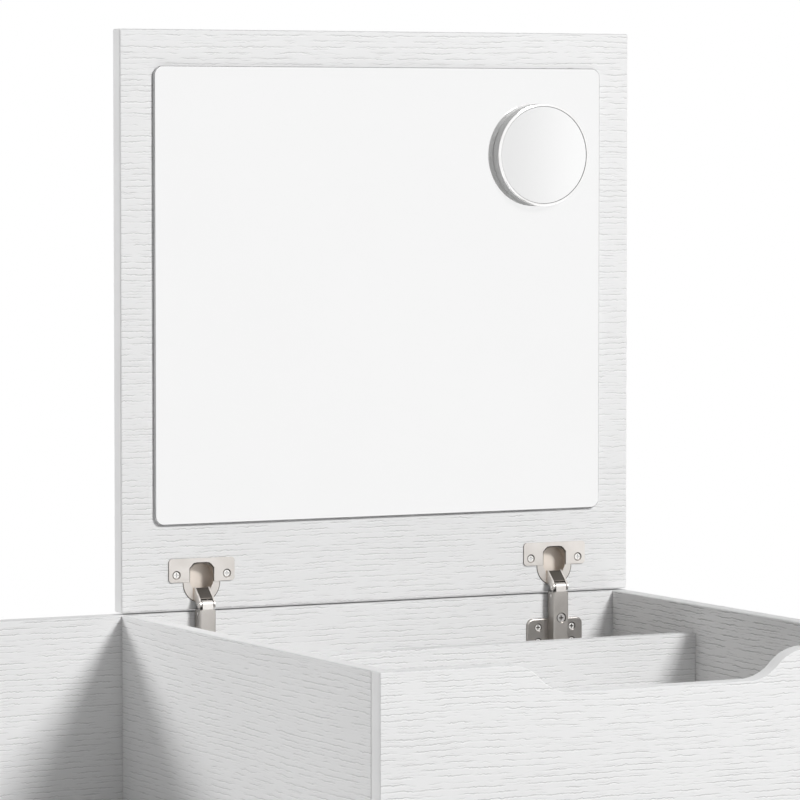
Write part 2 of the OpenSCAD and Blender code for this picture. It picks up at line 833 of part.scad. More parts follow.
// The housing: a round wall with a plate across it that the mirror disc lies on
module round_mirror_housing() {
    r = round_d / 2;
    seat = round_t - glass_sunk - round_glass_t;
    color("darkgray") round_part() {
        translate([r - shell_t, grip_pad_t / 2])
            square([shell_t, round_t - rim_t - grip_pad_t / 2]);
        translate([0, seat - shell_t]) square([r - shell_t / 2, shell_t]);
    }
}
// The rim, with a chamfered front
module round_mirror_rim() {
    r = round_d / 2;
    color("white") round_part() translate([r - rim_w, round_t - rim_t])
        polygon([[0, 0], [rim_w, 0], [rim_w, 0.5 * rim_t], [0.7 * rim_w, rim_t],
            [0.3 * rim_w, rim_t], [0, 0.8 * rim_t]]);
}
// The magnifying disc: its face is a shallow bowl, drawn as a parabola
module round_mirror_glass() {
    r = round_d / 2 - rim_w - fit;
    top = round_t - glass_sunk;
    color("azure") round_part() polygon(concat([[0, top - round_glass_t]],
        [[r, top - round_glass_t]],
        [for (i = [bowl_steps:-1:0]) [r * i / bowl_steps,
            top - bowl_deep * (1 - pow(i / bowl_steps, 2))]]));
}

// ---- Drawers ----

// One runner member as a channel section, drawn (out from the panel, up)
module channel2d(x0, x1, half_h, open_right) {
    translate([x0, half_h - runner_sheet]) square([x1 - x0, runner_sheet]);
    translate([x0, -half_h]) square([x1 - x0, runner_sheet]);
    translate([open_right ? x0 : x1 - runner_sheet, -half_h]) square([runner_sheet, 2 * half_h]);
}
// Places a runner drawing at both sides of a drawer, mirrored on the right side
module runner_pair(z, y = runner_y, l = runner_l) {
    for (right = [false, true]) translate([right ? box_x : cabinet_in_x, 0, z + runner_up])
        flipped(right) upright(y, l) children();
}
module cabinet_runners() {
    color(zinc) difference() {
        for (z = drawer_z) runner_pair(z) channel2d(0, 9.5, runner_h / 2, true);
        cabinet_runner_screw_places() screw_bore();
    }
}
module middle_runners(z) {
    color(nickel) runner_pair(z) channel2d(runner_step, 10.5, runner_h / 2 - runner_step, true);
}
module drawer_runners(z) {
    color(zinc) difference() {
        runner_pair(z)
            channel2d(5, runner_gap, runner_h / 2 - 2 * runner_step, false);
        drawer_runner_screw_places(z) screw_bore(10);
    }
}
module upper_middle_runners() { middle_runners(drawer_z[0]); }
module lower_middle_runners() { middle_runners(drawer_z[1]); }
module upper_drawer_runners() { drawer_runners(drawer_z[0]); }
module lower_drawer_runners() { drawer_runners(drawer_z[1]); }

module cabinet_runner_screw_places() {
    for (z = drawer_z, y = runner_screw_y, side = [0, 1])
        translate([side == 0 ? cabinet_in_x + runner_sheet : box_x - runner_sheet,
            runner_y + y, z + runner_up]) rotate([0, side == 0 ? 90 : -90, 0]) children();
}
module cabinet_runner_screws() {
    color(dark_nickel) cabinet_runner_screw_places() screw();
}
module drawer_runner_screw_places(z) {
    for (y = runner_screw_y, side = [0, 1])
        translate([side == 0 ? drawer_x - runner_sheet : drawer_x + drawer_w + runner_sheet,
            runner_y + y, z + runner_up]) rotate([0, side == 0 ? -90 : 90, 0]) children();
}
// Screws from inside the box into the drawer front
module front_screw_places(z) {
    for (x = [drawer_x + 60, drawer_x + drawer_w - 60])
        translate([x, inner_front_y + drawer_side_t, z + drawer_box_up + drawer_box_h / 2])
            rotate([-90, 0, 0]) children();
}
module drawer_screws(z) {
    color(dark_nickel) {
        drawer_runner_screw_places(z) screw(10);
        front_screw_places(z) screw(front_screw_l);
    }
}
module upper_drawer_screws() { drawer_screws(drawer_z[0]); }
module lower_drawer_screws() { drawer_screws(drawer_z[1]); }

module drawer_front(z) {
    color(white_board) difference() {
        scooped_front(left_x + front_gap / 2, z, cabinet_w + board - front_gap, drawer_front_h,
            drawer_scoop_w);
        front_screw_places(z) screw_bore(front_screw_l);
    }
}
module bottom_groove(z, extra = fit) {
    translate([drawer_x + drawer_side_t - drawer_groove_in - extra,
        inner_front_y + drawer_side_t - drawer_groove_in - extra,
        z + drawer_box_up + drawer_groove_up - extra])
        cube([drawer_w - 2 * (drawer_side_t - drawer_groove_in) + 2 * extra,
            drawer_l - 2 * (drawer_side_t - drawer_groove_in) + 2 * extra,
            drawer_bottom_t + 2 * extra]);
}
// The two sides of a drawer box, grooved for its bottom
module drawer_sides(z) {
    color(white_board) difference() {
        for (x = [drawer_x, drawer_x + drawer_w - drawer_side_t])
            translate([x, inner_front_y, z + drawer_box_up])
                cube([drawer_side_t, drawer_l, drawer_box_h]);
        bottom_groove(z);
        drawer_runner_screw_places(z) screw_bore(10);
    }
}
// The inner front and the back of a drawer box
module drawer_ends(z) {
    color(white_board) difference() {
        for (y = [inner_front_y, inner_front_y + drawer_l - drawer_side_t])
            translate([drawer_x + drawer_side_t, y, z + drawer_box_up])
                cube([drawer_w - 2 * drawer_side_t, drawer_side_t, drawer_box_h]);
        bottom_groove(z);
        front_screw_places(z) screw_bore(front_screw_l);
    }
}
module drawer_bottom(z) {
    color(white_board) bottom_groove(z, 0);
}
module upper_drawer_front() { drawer_front(drawer_z[0]); }
module upper_drawer_sides() { drawer_sides(drawer_z[0]); }
module upper_drawer_ends() { drawer_ends(drawer_z[0]); }
module upper_drawer_bottom() { drawer_bottom(drawer_z[0]); }
module lower_drawer_front() { drawer_front(drawer_z[1]); }
module lower_drawer_sides() { drawer_sides(drawer_z[1]); }
module lower_drawer_ends() { drawer_ends(drawer_z[1]); }
module lower_drawer_bottom() { drawer_bottom(drawer_z[1]); }

back_panel();
left_side_panel();
middle_side_panel();
right_side_panel();
vanity_front_panel();
tray_bottom();
tray_divider();
cabinet_top();
cabinet_bottom();
cabinet_back();
plinth_board();
knee_rail();
glides();
dowels();
cam_locks();
cam_bolts();
hinge_plate_left();
hinge_plate_right();
hinge_plate_screws();
hinge_arm_left();
hinge_arm_right();
arm_fixing_screws();
hinge_arm_pins();
outer_link_left();
outer_link_right();
inner_link_left();
inner_link_right();
lid_panel();
hinge_cup_left();
hinge_cup_right();
hinge_cup_screws();
hinge_cup_pins();
mirror_backing();
mirror_glass();
round_mirror_grip();
round_mirror_base();
round_mirror_housing();
round_mirror_rim();
round_mirror_glass();
upper_drawer_front();
upper_drawer_sides();
upper_drawer_ends();
upper_drawer_bottom();
upper_drawer_runners();
upper_middle_runners();
lower_drawer_front();
lower_drawer_sides();
lower_drawer_ends();
lower_drawer_bottom();
lower_drawer_runners();
lower_middle_runners();
cabinet_runners();
cabinet_runner_screws();
upper_drawer_screws();
lower_drawer_screws();
back_panel_pins();
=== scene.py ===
import bpy
import bmesh
import math
from mathutils import Matrix, Vector


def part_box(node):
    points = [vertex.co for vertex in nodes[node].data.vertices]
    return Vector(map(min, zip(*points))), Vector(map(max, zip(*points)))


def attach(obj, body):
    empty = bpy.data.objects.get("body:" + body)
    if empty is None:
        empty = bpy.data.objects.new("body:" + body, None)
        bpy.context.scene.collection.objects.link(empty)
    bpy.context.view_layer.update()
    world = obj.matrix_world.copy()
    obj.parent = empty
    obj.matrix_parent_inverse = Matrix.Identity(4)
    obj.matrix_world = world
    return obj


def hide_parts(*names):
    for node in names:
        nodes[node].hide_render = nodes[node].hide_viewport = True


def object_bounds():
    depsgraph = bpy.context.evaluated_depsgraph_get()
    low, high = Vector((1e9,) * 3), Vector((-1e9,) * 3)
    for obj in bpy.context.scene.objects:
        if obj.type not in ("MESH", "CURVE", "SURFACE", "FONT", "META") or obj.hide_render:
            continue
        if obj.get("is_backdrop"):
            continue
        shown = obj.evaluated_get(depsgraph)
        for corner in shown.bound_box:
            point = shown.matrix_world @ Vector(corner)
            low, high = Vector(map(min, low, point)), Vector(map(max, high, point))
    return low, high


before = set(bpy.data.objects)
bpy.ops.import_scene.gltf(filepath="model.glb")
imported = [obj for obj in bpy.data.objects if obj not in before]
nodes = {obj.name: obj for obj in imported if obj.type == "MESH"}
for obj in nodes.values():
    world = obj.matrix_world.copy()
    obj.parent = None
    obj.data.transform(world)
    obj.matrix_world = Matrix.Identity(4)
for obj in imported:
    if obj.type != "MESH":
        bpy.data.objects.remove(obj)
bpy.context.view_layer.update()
print("stage: frame loaded")


# Short calls that add nodes to a tree and join them
class NodeDesk:

    def __init__(self, tree):
        self.tree = tree

    def add(self, kind, **settings):
        node = self.tree.nodes.new(kind)
        for key, value in settings.items():
            setattr(node, key, value)
        return node

    # Gives a socket a plain value or another node's output
    def feed(self, socket, value):
        if isinstance(value, bpy.types.NodeSocket):
            self.tree.links.new(value, socket)
        else:
            socket.default_value = value

    def math(self, operation, first, second=0.0, clamp=False):
        node = self.add("ShaderNodeMath", operation=operation, use_clamp=clamp)
        self.feed(node.inputs[0], first)
        self.feed(node.inputs[1], second)
        return node.outputs[0]

    def noise(self, vector, scale, detail=2.0, roughness=0.5):
        node = self.add("ShaderNodeTexNoise")
        self.feed(node.inputs["Scale"], scale)
        self.feed(node.inputs["Detail"], detail)
        self.feed(node.inputs["Roughness"], roughness)
        self.feed(node.inputs["Vector"], vector)
        return node.outputs["Fac"]

    def combine(self, x, y, z):
        node = self.add("ShaderNodeCombineXYZ")
        for socket, value in zip(node.inputs, (x, y, z)):
            self.feed(socket, value)
        return node.outputs[0]

    def split(self, vector):
        node = self.add("ShaderNodeSeparateXYZ")
        self.feed(node.inputs[0], vector)
        return node.outputs

    def smooth(self, value, low, high, start=0.0, end=1.0):
        node = self.add("ShaderNodeMapRange", interpolation_type="SMOOTHSTEP")
        self.feed(node.inputs["Value"], value)
        self.feed(node.inputs["From Min"], low)
        self.feed(node.inputs["From Max"], high)
        self.feed(node.inputs["To Min"], start)
        self.feed(node.inputs["To Max"], end)
        return node.outputs["Result"]

    def shades(self, factor, stops):
        node = self.add("ShaderNodeValToRGB")
        ramp = node.color_ramp
        while len(ramp.elements) < len(stops):
            ramp.elements.new(0.5)
        for element, (position, color) in zip(ramp.elements, stops):
            element.position = position
            element.color = (*color, 1)
        self.feed(node.inputs["Fac"], factor)
        return node.outputs["Color"]

    # One shade below the span of the factor, the other above it
    def blend(self, factor, span, below, above):
        return self.shades(factor, list(zip(span, (below, above))))

    def bump(self, height, distance, strength=1.0):
        node = self.add("ShaderNodeBump")
        self.feed(node.inputs["Distance"], distance)
        self.feed(node.inputs["Strength"], strength)
        self.feed(node.inputs["Height"], height)
        return node.outputs["Normal"]

    def mix(self, factor, first, second):
        node = self.add("ShaderNodeMixShader")
        for socket, value in zip(node.inputs, (factor, first, second)):
            self.feed(socket, value)
        return node.outputs[0]

    # One for camera, glossy and transmission rays, nought for the rest
    def seenDirectly(self):
        path = self.add("ShaderNodeLightPath").outputs
        first = self.math("MAXIMUM", path["Is Camera Ray"], path["Is Glossy Ray"])
        return self.math("MAXIMUM", first, path["Is Transmission Ray"])


class MaterialDesk(NodeDesk):

    def __init__(self, name):
        self.material = bpy.data.materials.new(name)
        self.material.use_nodes = True
        super().__init__(self.material.node_tree)
        self.shader = self.tree.nodes["Principled BSDF"]
        self.place = self.add("ShaderNodeTexCoord").outputs["Object"]

    def paint(self, inputs):
        for name, value in inputs.items():
            self.feed(self.shader.inputs[name], value)
        return self.material


# Camera, floor and light

cameraSet = {
    "place": (-1.7055, -3.4736, 1.1639),
    "turnDegrees": 27.425,        # from straight ahead towards +X
    "downDegrees": 3.233,
    "lens": 213.74,
    "clipEnd": 100,
}

lightSet = {
    "target": (0.2, 0.0, 0.85),
    "distance": 4.5,
    "key": {"towards": (0.39, -1.0, 0.63), "size": 1.1, "power": 161.0},
    "side": {"towards": (-1.0, 0.95, 0.76), "size": 1.6, "power": 120.0},
    "surround": 0.14,             # strength of the world on the object
}

floorSet = {
    "size": 40.0,
    "color": (0.55, 0.55, 0.55),
    "roughness": 0.6,
    "shine": 0.2,
    "lift": 0.72,                 # white added near the object, where its shadow shows
    "nearRadius": 1.2,
    "farRadius": 3.4,             # from here outwards the floor is plain white
}


def makeCamera(values):
    data = bpy.data.cameras.new("viewCamera")
    data.lens = values["lens"]
    data.clip_end = values["clipEnd"]
    camera = bpy.data.objects.new("viewCamera", data)
    camera.location = values["place"]
    camera.rotation_euler = (
        math.radians(90 - values["downDegrees"]), 0, -math.radians(values["turnDegrees"]))
    bpy.context.scene.collection.objects.link(camera)
    bpy.context.scene.camera = camera


def makeLight(name, values, target, distance):
    data = bpy.data.lights.new(name, "AREA")
    data.shape = "DISK"
    data.size = values["size"]
    data.energy = values["power"]
    light = bpy.data.objects.new(name, data)
    away = Vector(values["towards"]).normalized()
    light.location = Vector(target) + away * distance
    light.rotation_euler = away.to_track_quat("Z", "Y").to_euler()
    light.visible_camera = False
    bpy.context.scene.collection.objects.link(light)


# Soft light on the object, and plain white wherever the world itself is seen
def makeWorld(strength):
    world = bpy.data.worlds.new("surround")
    bpy.context.scene.world = world
    world.use_nodes = True
    world.node_tree.nodes.clear()
    desk = NodeDesk(world.node_tree)
    shaders = []
    for level in (strength, 1.0):
        node = desk.add("ShaderNodeBackground")
        desk.feed(node.inputs["Color"], (1, 1, 1, 1))
        desk.feed(node.inputs["Strength"], level)
        shaders.append(node.outputs[0])
    output = desk.add("ShaderNodeOutputWorld")
    desk.feed(output.inputs["Surface"], desk.mix(desk.seenDirectly(), *shaders))


# The floor turns to plain white away from the object, for the camera and for mirrors
def floorMaterial(values):
    desk = MaterialDesk("floorPale")
    desk.paint({
        "Base Color": (*values["color"], 1),
        "Roughness": values["roughness"],
        "Specular IOR Level": values["shine"],
    })
    length = desk.add("ShaderNodeVectorMath", operation="LENGTH")
    desk.feed(length.inputs[0], desk.place)
    fade = desk.smooth(length.outputs["Value"], values["nearRadius"], values["farRadius"])
    seen = desk.seenDirectly()
    lift = desk.add("ShaderNodeEmission")
    desk.feed(lift.inputs["Strength"], desk.math("MULTIPLY", seen, values["lift"]))
    lifted = desk.add("ShaderNodeAddShader")
    desk.feed(lifted.inputs[0], desk.shader.outputs[0])
    desk.feed(lifted.inputs[1], lift.outputs[0])
    white = desk.add("ShaderNodeEmission")
    mixed = desk.mix(desk.math("MULTIPLY", fade, seen), lifted.outputs[0], white.outputs[0])
    desk.feed(desk.tree.nodes["Material Output"].inputs["Surface"], mixed)
    return desk.material


def makeFloor(values):
    bm = bmesh.new()
    bmesh.ops.create_grid(bm, x_segments=1, y_segments=1, size=values["size"])
    mesh = bpy.data.meshes.new("floor")
    bm.to_mesh(mesh)
    bm.free()
    mesh.materials.append(floorMaterial(values))
    floor = bpy.data.objects.new("floor", mesh)
    bpy.context.scene.collection.objects.link(floor)
    floor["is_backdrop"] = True


makeCamera(cameraSet)
makeLight("keyLight", lightSet["key"], lightSet["target"], lightSet["distance"])
makeLight("sideLight", lightSet["side"], lightSet["target"], lightSet["distance"])
makeWorld(lightSet["surround"])
makeFloor(floorSet)
bpy.context.scene.view_settings.view_transform = "Standard"
print("stage: camera and light")

# Materials; a noise is given as scale, detail and roughness, a bump as depth and strength

whiteBoardSet = {
    # bright is the lips' painted highlight, groove the grooves' painted shade
    "bright": (0.99, 0.99, 0.99),
    "light": (0.885, 0.885, 0.885),
    "groove": (0.66, 0.66, 0.66),
    "roughness": 0.6,
    "grooveRoughness": 0.75,
    "shine": 0.28,
    "ior": 1.45,
    "depthShift": 0.83,           # how far the lines shift across for each unit of depth
    # Waves: scales along and across the lines, detail, and reach
    "wander": (4.0, 11.0, 2.0, 0.009),
    "jag": (120.0, 90.0, 2.0, 0.0026),
    "fineJag": (420.0, 260.0, 2.0, 0.0018),
    "cloud": (7.0, 45.0, 3.0, 0.12),
    "longRows": {
        "spacing": 0.0049,
        "width": 0.13,            # share of the spacing
        "seed": 1.3,
        "breaks": (0.38, 0.58),   # noise levels between which a line fades in
        "stretch": 44.0,
        "lineWeight": 1.0,
        "lipWeight": 1.0,
    },
    "fineRows": {
        "spacing": 0.0024,
        "width": 0.195,
        "seed": 7.9,
        "breaks": (0.47, 0.65),
        "stretch": 70.0,
        "lineWeight": 0.6,
        "lipWeight": 0.65,
    },
    "rowStep": 3.71,              # sets the breaks of neighbouring lines apart
    "lipShift": 1.3,              # from a line to the bright lip beside it, in line widths
    "grooveShadeTone": 0.5,
    "lipHighlightTone": 0.45,
    "poreScale": (240.0, 900.0),
    "poreHeight": 0.12,
    "lipHeight": 0.35,
    "grooveDepth": 0.0002,
}


# White foil on board, embossed with grain, with painted shade in the grooves and a painted highlight
# on the lip beside each; the axes are numbered 0, 1, 2 for X, Y, Z
def whiteBoard(name, along, across, through, values):
    desk = MaterialDesk(name)
    axes = desk.split(desk.place)
    u, v, w = axes[along], axes[across], axes[through]
    v = desk.math("ADD", v, desk.math("MULTIPLY", w, values["depthShift"]))

    def stretched(alongScale, acrossScale, detail=2.0):
        return desk.noise(desk.combine(desk.math("MULTIPLY", u, alongScale),
                                       desk.math("MULTIPLY", v, acrossScale), w), 1.0, detail)

    def wave(alongScale, acrossScale, detail, reach):
        level = desk.math("SUBTRACT", stretched(alongScale, acrossScale, detail), 0.5)
        return desk.math("MULTIPLY", level, reach)

    # The lines wander slowly over the board, and are jagged from close by
    moved = desk.math("ADD", desk.math("ADD", v, wave(*values["wander"])),
                      desk.math("ADD", wave(*values["jag"]), wave(*values["fineJag"])))

    def rows(part):
        count = desk.math("DIVIDE", moved, part["spacing"])
        row = desk.math("FLOOR", count)
        offset = desk.math("SUBTRACT", desk.math("FRACT", count), 0.5)
        strip = desk.combine(desk.math("MULTIPLY", u, part["stretch"]),
                             desk.math("MULTIPLY", row, values["rowStep"]), part["seed"])
        shown = desk.smooth(desk.noise(strip, 1.0), *part["breaks"])

        def band(middle, weight):
            away = desk.math("ABSOLUTE", middle)
            level = desk.math("MULTIPLY", desk.smooth(away, 0.0, part["width"], 1.0, 0.0), shown)
            return desk.math("MULTIPLY", level, weight)

        beside = desk.math("ADD", offset, part["width"] * values["lipShift"])
        return band(offset, part["lineWeight"]), band(beside, part["lipWeight"])

    longLine, longLip = rows(values["longRows"])
    fineLine, fineLip = rows(values["fineRows"])
    groove = desk.math("MAXIMUM", longLine, fineLine)
    lip = desk.math("MAXIMUM", longLip, fineLip)
    # The tone gives the grooves painted shade and the lips beside them a painted highlight, as light
    # from above would
    tone = desk.math("ADD", 0.5, wave(*values["cloud"]))
    tone = desk.math("ADD", tone, desk.math("MULTIPLY", groove, values["grooveShadeTone"]))
    tone = desk.math("SUBTRACT", tone, desk.math("MULTIPLY", lip, values["lipHighlightTone"]), clamp=True)
    pores = desk.math("MULTIPLY", stretched(*values["poreScale"]), values["poreHeight"])
    raised = desk.math("ADD", pores, desk.math("MULTIPLY", lip, values["lipHeight"]))
    height = desk.math("SUBTRACT", raised, groove)
    return desk.paint({
        "Base Color": desk.shades(tone, [
            (0.0, values["bright"]), (0.5, values["light"]), (1.0, values["groove"])]),
        "Normal": desk.bump(height, values["grooveDepth"]),
        "Roughness": desk.smooth(groove, 0.0, 1.0, values["roughness"],
                                 values["grooveRoughness"]),
        "IOR": values["ior"],
        "Specular IOR Level": values["shine"],
    })


boardAlongX = whiteBoard("whiteBoardAlongX", 0, 2, 1, whiteBoardSet)
boardAlongY = whiteBoard("whiteBoardAlongY", 1, 2, 0, whiteBoardSet)
boardFlatX = whiteBoard("whiteBoardFlatX", 0, 1, 2, whiteBoardSet)

# Inside the tray the foil is darker with painted shade, and on the right panel its grain is deeper
# too, with darker painted shade in the grooves
shadedTrayBoardSet = {
    **whiteBoardSet,
    "bright": (0.9, 0.9, 0.9),
    "light": (0.78, 0.78, 0.78),
    "groove": (0.57, 0.57, 0.57),
}
shadedTraySideSet = {
    **shadedTrayBoardSet,
    "light": (0.79, 0.785, 0.78),
    "groove": (0.43, 0.425, 0.42),
    "grooveDepth": 0.0003,
}
shadedTrayAlongX = whiteBoard("shadedTrayBoardAlongX", 0, 2, 1, shadedTrayBoardSet)
shadedTrayAlongY = whiteBoard("shadedTrayBoardAlongY", 1, 2, 0, shadedTraySideSet)

edgeBandSet = {
    "upright": {"light": (0.93, 0.93, 0.93), "dark": (0.89, 0.89, 0.89), "roughness": 0.62},
    "level": {"light": (0.77, 0.77, 0.77), "dark": (0.73, 0.73, 0.73), "roughness": 0.7},
    "roughnessSpread": 0.06,
    "shine": 0.2,
    "span": (0.3, 0.7),           # of the cloud, from dark to light
    "cloud": (35.0, 4.0, 0.6),
    "grain": (1500.0, 2.0),
    "bump": (0.00002, 0.6),
}


# The smooth band on the boards' narrow faces; its level copy is darker, painted shade on top edges
def edgeBand(name, values):
    desk = MaterialDesk(name)
    cloud = desk.noise(desk.place, *edgeBandSet["cloud"])
    grain = desk.noise(desk.place, *edgeBandSet["grain"])
    rough, span = values["roughness"], edgeBandSet["span"]
    return desk.paint({
        "Base Color": desk.blend(cloud, span, values["dark"], values["light"]),
        "Roughness": desk.smooth(cloud, *span, rough + edgeBandSet["roughnessSpread"], rough),
        "Normal": desk.bump(grain, *edgeBandSet["bump"]),
        "Specular IOR Level": edgeBandSet["shine"],
    })


uprightBand = edgeBand("uprightBand", edgeBandSet["upright"])
shadedLevelBand = edgeBand("shadedLevelBand", edgeBandSet["level"])

metalSet = {
    "nickel": {"color": (0.71, 0.68, 0.65), "roughness": 0.34, "brush": 0.06},
    "armNickel": {"color": (0.57, 0.545, 0.52), "roughness": 0.36, "brush": 0.06},
    "plateNickel": {"color": (0.44, 0.42, 0.4), "roughness": 0.34, "brush": 0.06},
    "cupNickel": {"color": (0.74, 0.68, 0.62), "roughness": 0.58, "brush": 0.06},
    # A lighter copy of the arm's nickel, a painted highlight on the knuckle
    "knuckleHighlightNickel": {"color": (0.62, 0.6, 0.58), "roughness": 0.52, "brush": 0.06},
    "screwZinc": {"color": (0.8, 0.79, 0.77), "roughness": 0.5, "brush": 0.06},
    "armZinc": {"color": (0.55, 0.54, 0.53), "roughness": 0.45, "brush": 0.06},
    # Mid-dark nickel, painted shade on the flange's outer edges
    "edgeShadeNickel": {"color": (0.27, 0.25, 0.235), "roughness": 0.4, "brush": 0.06},
    # Near-black nickel, painted shade in seats, recesses, slots, under edges and the link's web
    "paintedShadeNickel": {"color": (0.11, 0.1, 0.09), "roughness": 0.42, "brush": 0.06},
    "bareRim": {"color": (0.98, 0.98, 0.98), "roughness": 0.12, "brush": 0.04},
    "zinc": {"color": (0.8, 0.79, 0.77), "roughness": 0.24, "brush": 0.05},
    "castZinc": {"color": (0.5, 0.5, 0.51), "roughness": 0.45, "brush": 0.1},
    "runnerSteel": {"color": (0.46, 0.47, 0.485), "roughness": 0.34, "brush": 0.09},
}
metalGrainSet = {
    "patches": (55.0, 3.0, 0.55),
    "span": (0.3, 0.7),
    "grain": (900.0, 3.0, 0.6),
    "bump": (0.00001, 0.5),
    "darkShare": (0.93, 0.92, 0.91),
    "lightShare": 1.04,
}


def metal(name, values):
    desk = MaterialDesk(name)
    grain = desk.noise(desk.place, *metalGrainSet["grain"])
    patches = desk.noise(desk.place, *metalGrainSet["patches"])
    dark = tuple(c * share for c, share in zip(values["color"], metalGrainSet["darkShare"]))
    light = tuple(min(c * metalGrainSet["lightShare"], 1) for c in values["color"])
    return desk.paint({
        "Base Color": desk.blend(patches, metalGrainSet["span"], dark, light),
        "Metallic": 1.0,
        "Roughness": desk.math("ADD", values["roughness"] - values["brush"] / 2,
                               desk.math("MULTIPLY", patches, values["brush"])),
        "Normal": desk.bump(grain, *metalGrainSet["bump"]),
    })


metals = {name: metal(name, values) for name, values in metalSet.items()}

plasticSet = {
    "housingGrey": {"color": (0.63, 0.63, 0.625), "roughness": 0.7, "grain": 0.00002,
                    "shine": 0.1},
    "backGrey": {"color": (0.5, 0.5, 0.49), "roughness": 0.5, "grain": 0.00003, "shine": 0.5},
    "gripPad": {"color": (0.16, 0.16, 0.16), "roughness": 0.8, "grain": 0.00005, "shine": 0.5},
    "glideGrey": {"color": (0.1, 0.1, 0.105), "roughness": 0.5, "grain": 0.00003, "shine": 0.5},
    # Near-black, painted shade in the gap between the rim and the disc
    "rimGapShade": {"color": (0.06, 0.06, 0.06), "roughness": 0.7, "grain": 0.00002, "shine": 0.5},
    "mirrorBack": {"color": (0.45, 0.455, 0.46), "roughness": 0.6, "grain": 0.00003,
                   "shine": 0.5},
}
plasticGrainSet = {
    "patches": (30.0, 3.0),
    "span": (0.25, 0.75),
    "grain": (1800.0, 2.0),
    "grainStrength": 0.6,
    "darkShare": 0.96,
    "roughnessSpread": 0.08,
}


def plastic(name, values):
    desk = MaterialDesk(name)
    patches = desk.noise(desk.place, *plasticGrainSet["patches"])
    grain = desk.noise(desk.place, *plasticGrainSet["grain"])
    dark = tuple(c * plasticGrainSet["darkShare"] for c in values["color"])
    spread = plasticGrainSet["roughnessSpread"]
    return desk.paint({
        "Base Color": desk.blend(patches, plasticGrainSet["span"], dark, values["color"]),
        "Roughness": desk.math("ADD", values["roughness"] - spread / 2,
                               desk.math("MULTIPLY", patches, spread)),
        "Normal": desk.bump(grain, values["grain"], plasticGrainSet["grainStrength"]),
        "Specular IOR Level": values["shine"],
    })


plastics = {name: plastic(name, values) for name, values in plasticSet.items()}

mirrorSet = {
    "silver": {"color": (0.93, 0.93, 0.93), "dim": 0.99, "smudge": 0.03},
    "bowl": {"color": (0.97, 0.97, 0.97), "dim": 0.84, "smudge": 0.08},
    "haze": (7.0, 4.0, 0.6),
    "span": (0.3, 0.7),
    "smudgeSpan": (0.35, 0.75),
    "clearness": 0.9,             # the rest is a faint haze on the glass
    "sideEdge": (0.76, 0.765, 0.77),
    "shadedLevelEdge": (0.2, 0.2, 0.205),
    "edgeGrain": (700.0, 2.0),
    "edgeSpan": (0.2, 0.8),
    "edgeBump": (0.00002, 0.5),
    "edgeDarkShare": 0.93,
    "edgeRoughness": (0.28, 0.4),
    "edgeCoat": (0.4, 0.1),       # weight and roughness
}


# A silvered face that is dimmer in places, or along X from a dim side to a bright one, a painted
# reflection gradient
def mirrorFace(name, values, fade=None):
    desk = MaterialDesk(name)
    haze = desk.noise(desk.place, *mirrorSet["haze"])
    shade = haze
    if fade:
        shade = desk.smooth(desk.split(desk.place)["X"], *fade, *mirrorSet["span"])
    dimmed = tuple(c * values["dim"] for c in values["color"])
    return desk.paint({
        "Base Color": desk.blend(shade, mirrorSet["span"], dimmed, values["color"]),
        "Metallic": mirrorSet["clearness"],
        "Roughness": desk.smooth(haze, *mirrorSet["smudgeSpan"], 0.0, values["smudge"]),
    })


silver = mirrorFace("mirrorSilver", mirrorSet["silver"])
discLow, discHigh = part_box("round_mirror_glass")
# The bowl's silver darkens along X, a painted reflection
bowlSilverPaintedFade = mirrorFace("bowlSilverPaintedFade", mirrorSet["bowl"], (discLow.x, discHigh.x))


# The mirror glass's ground edge, in a lighter copy for the upright edges and a darker one for the
# level edges, as painted light and shade
def groundEdge(name, color):
    desk = MaterialDesk(name)
    grain = desk.noise(desk.place, *mirrorSet["edgeGrain"])
    dark = tuple(c * mirrorSet["edgeDarkShare"] for c in color)
    coatWeight, coatRoughness = mirrorSet["edgeCoat"]
    return desk.paint({
        "Base Color": desk.blend(grain, mirrorSet["edgeSpan"], dark, color),
        "Roughness": desk.smooth(grain, *mirrorSet["edgeSpan"], *mirrorSet["edgeRoughness"]),
        "Normal": desk.bump(grain, *mirrorSet["edgeBump"]),
        "Coat Weight": coatWeight,
        "Coat Roughness": coatRoughness,
    })


sideEdge = groundEdge("mirrorLitSideEdge", mirrorSet["sideEdge"])
shadedLevelEdge = groundEdge("mirrorShadedLevelEdge", mirrorSet["shadedLevelEdge"])

woodSet = {
    "hardboard": {"light": (0.78, 0.77, 0.74), "dark": (0.7, 0.69, 0.66), "scale": 60.0},
    "beech": {"light": (0.72, 0.53, 0.34), "dark": (0.56, 0.37, 0.21), "scale": 40.0},
}
woodFibreSet = {
    "squeeze": (1.0, 8.0, 8.0),
    "detail": 4.0,
    "noiseRoughness": 0.6,
    "span": (0.3, 0.7),
    "bump": (0.00008, 0.5),
    "roughness": 0.6,
}


def bareWood(name, values):
    desk = MaterialDesk(name)
    spread = desk.add("ShaderNodeMapping")
    desk.feed(spread.inputs["Scale"], woodFibreSet["squeeze"])
    desk.feed(spread.inputs["Vector"], desk.place)
    fibre = desk.noise(spread.outputs[0], values["scale"], woodFibreSet["detail"],
                       woodFibreSet["noiseRoughness"])
    return desk.paint({
        "Base Color": desk.blend(fibre, woodFibreSet["span"], values["dark"], values["light"]),
        "Roughness": woodFibreSet["roughness"],
        "Normal": desk.bump(fibre, *woodFibreSet["bump"]),
    })


woods = {name: bareWood(name, values) for name, values in woodSet.items()}
print("stage: materials")

# Ways of making a piece

meshSet = {
    "sharpDegrees": 30.0,
    "mergeGap": 0.000004,
    "flatDegrees": 0.8,           # edges that turn by less are dissolved
    "normalWeight": 50,
    "close": 0.00002,             # coordinates nearer than this count as the same
}


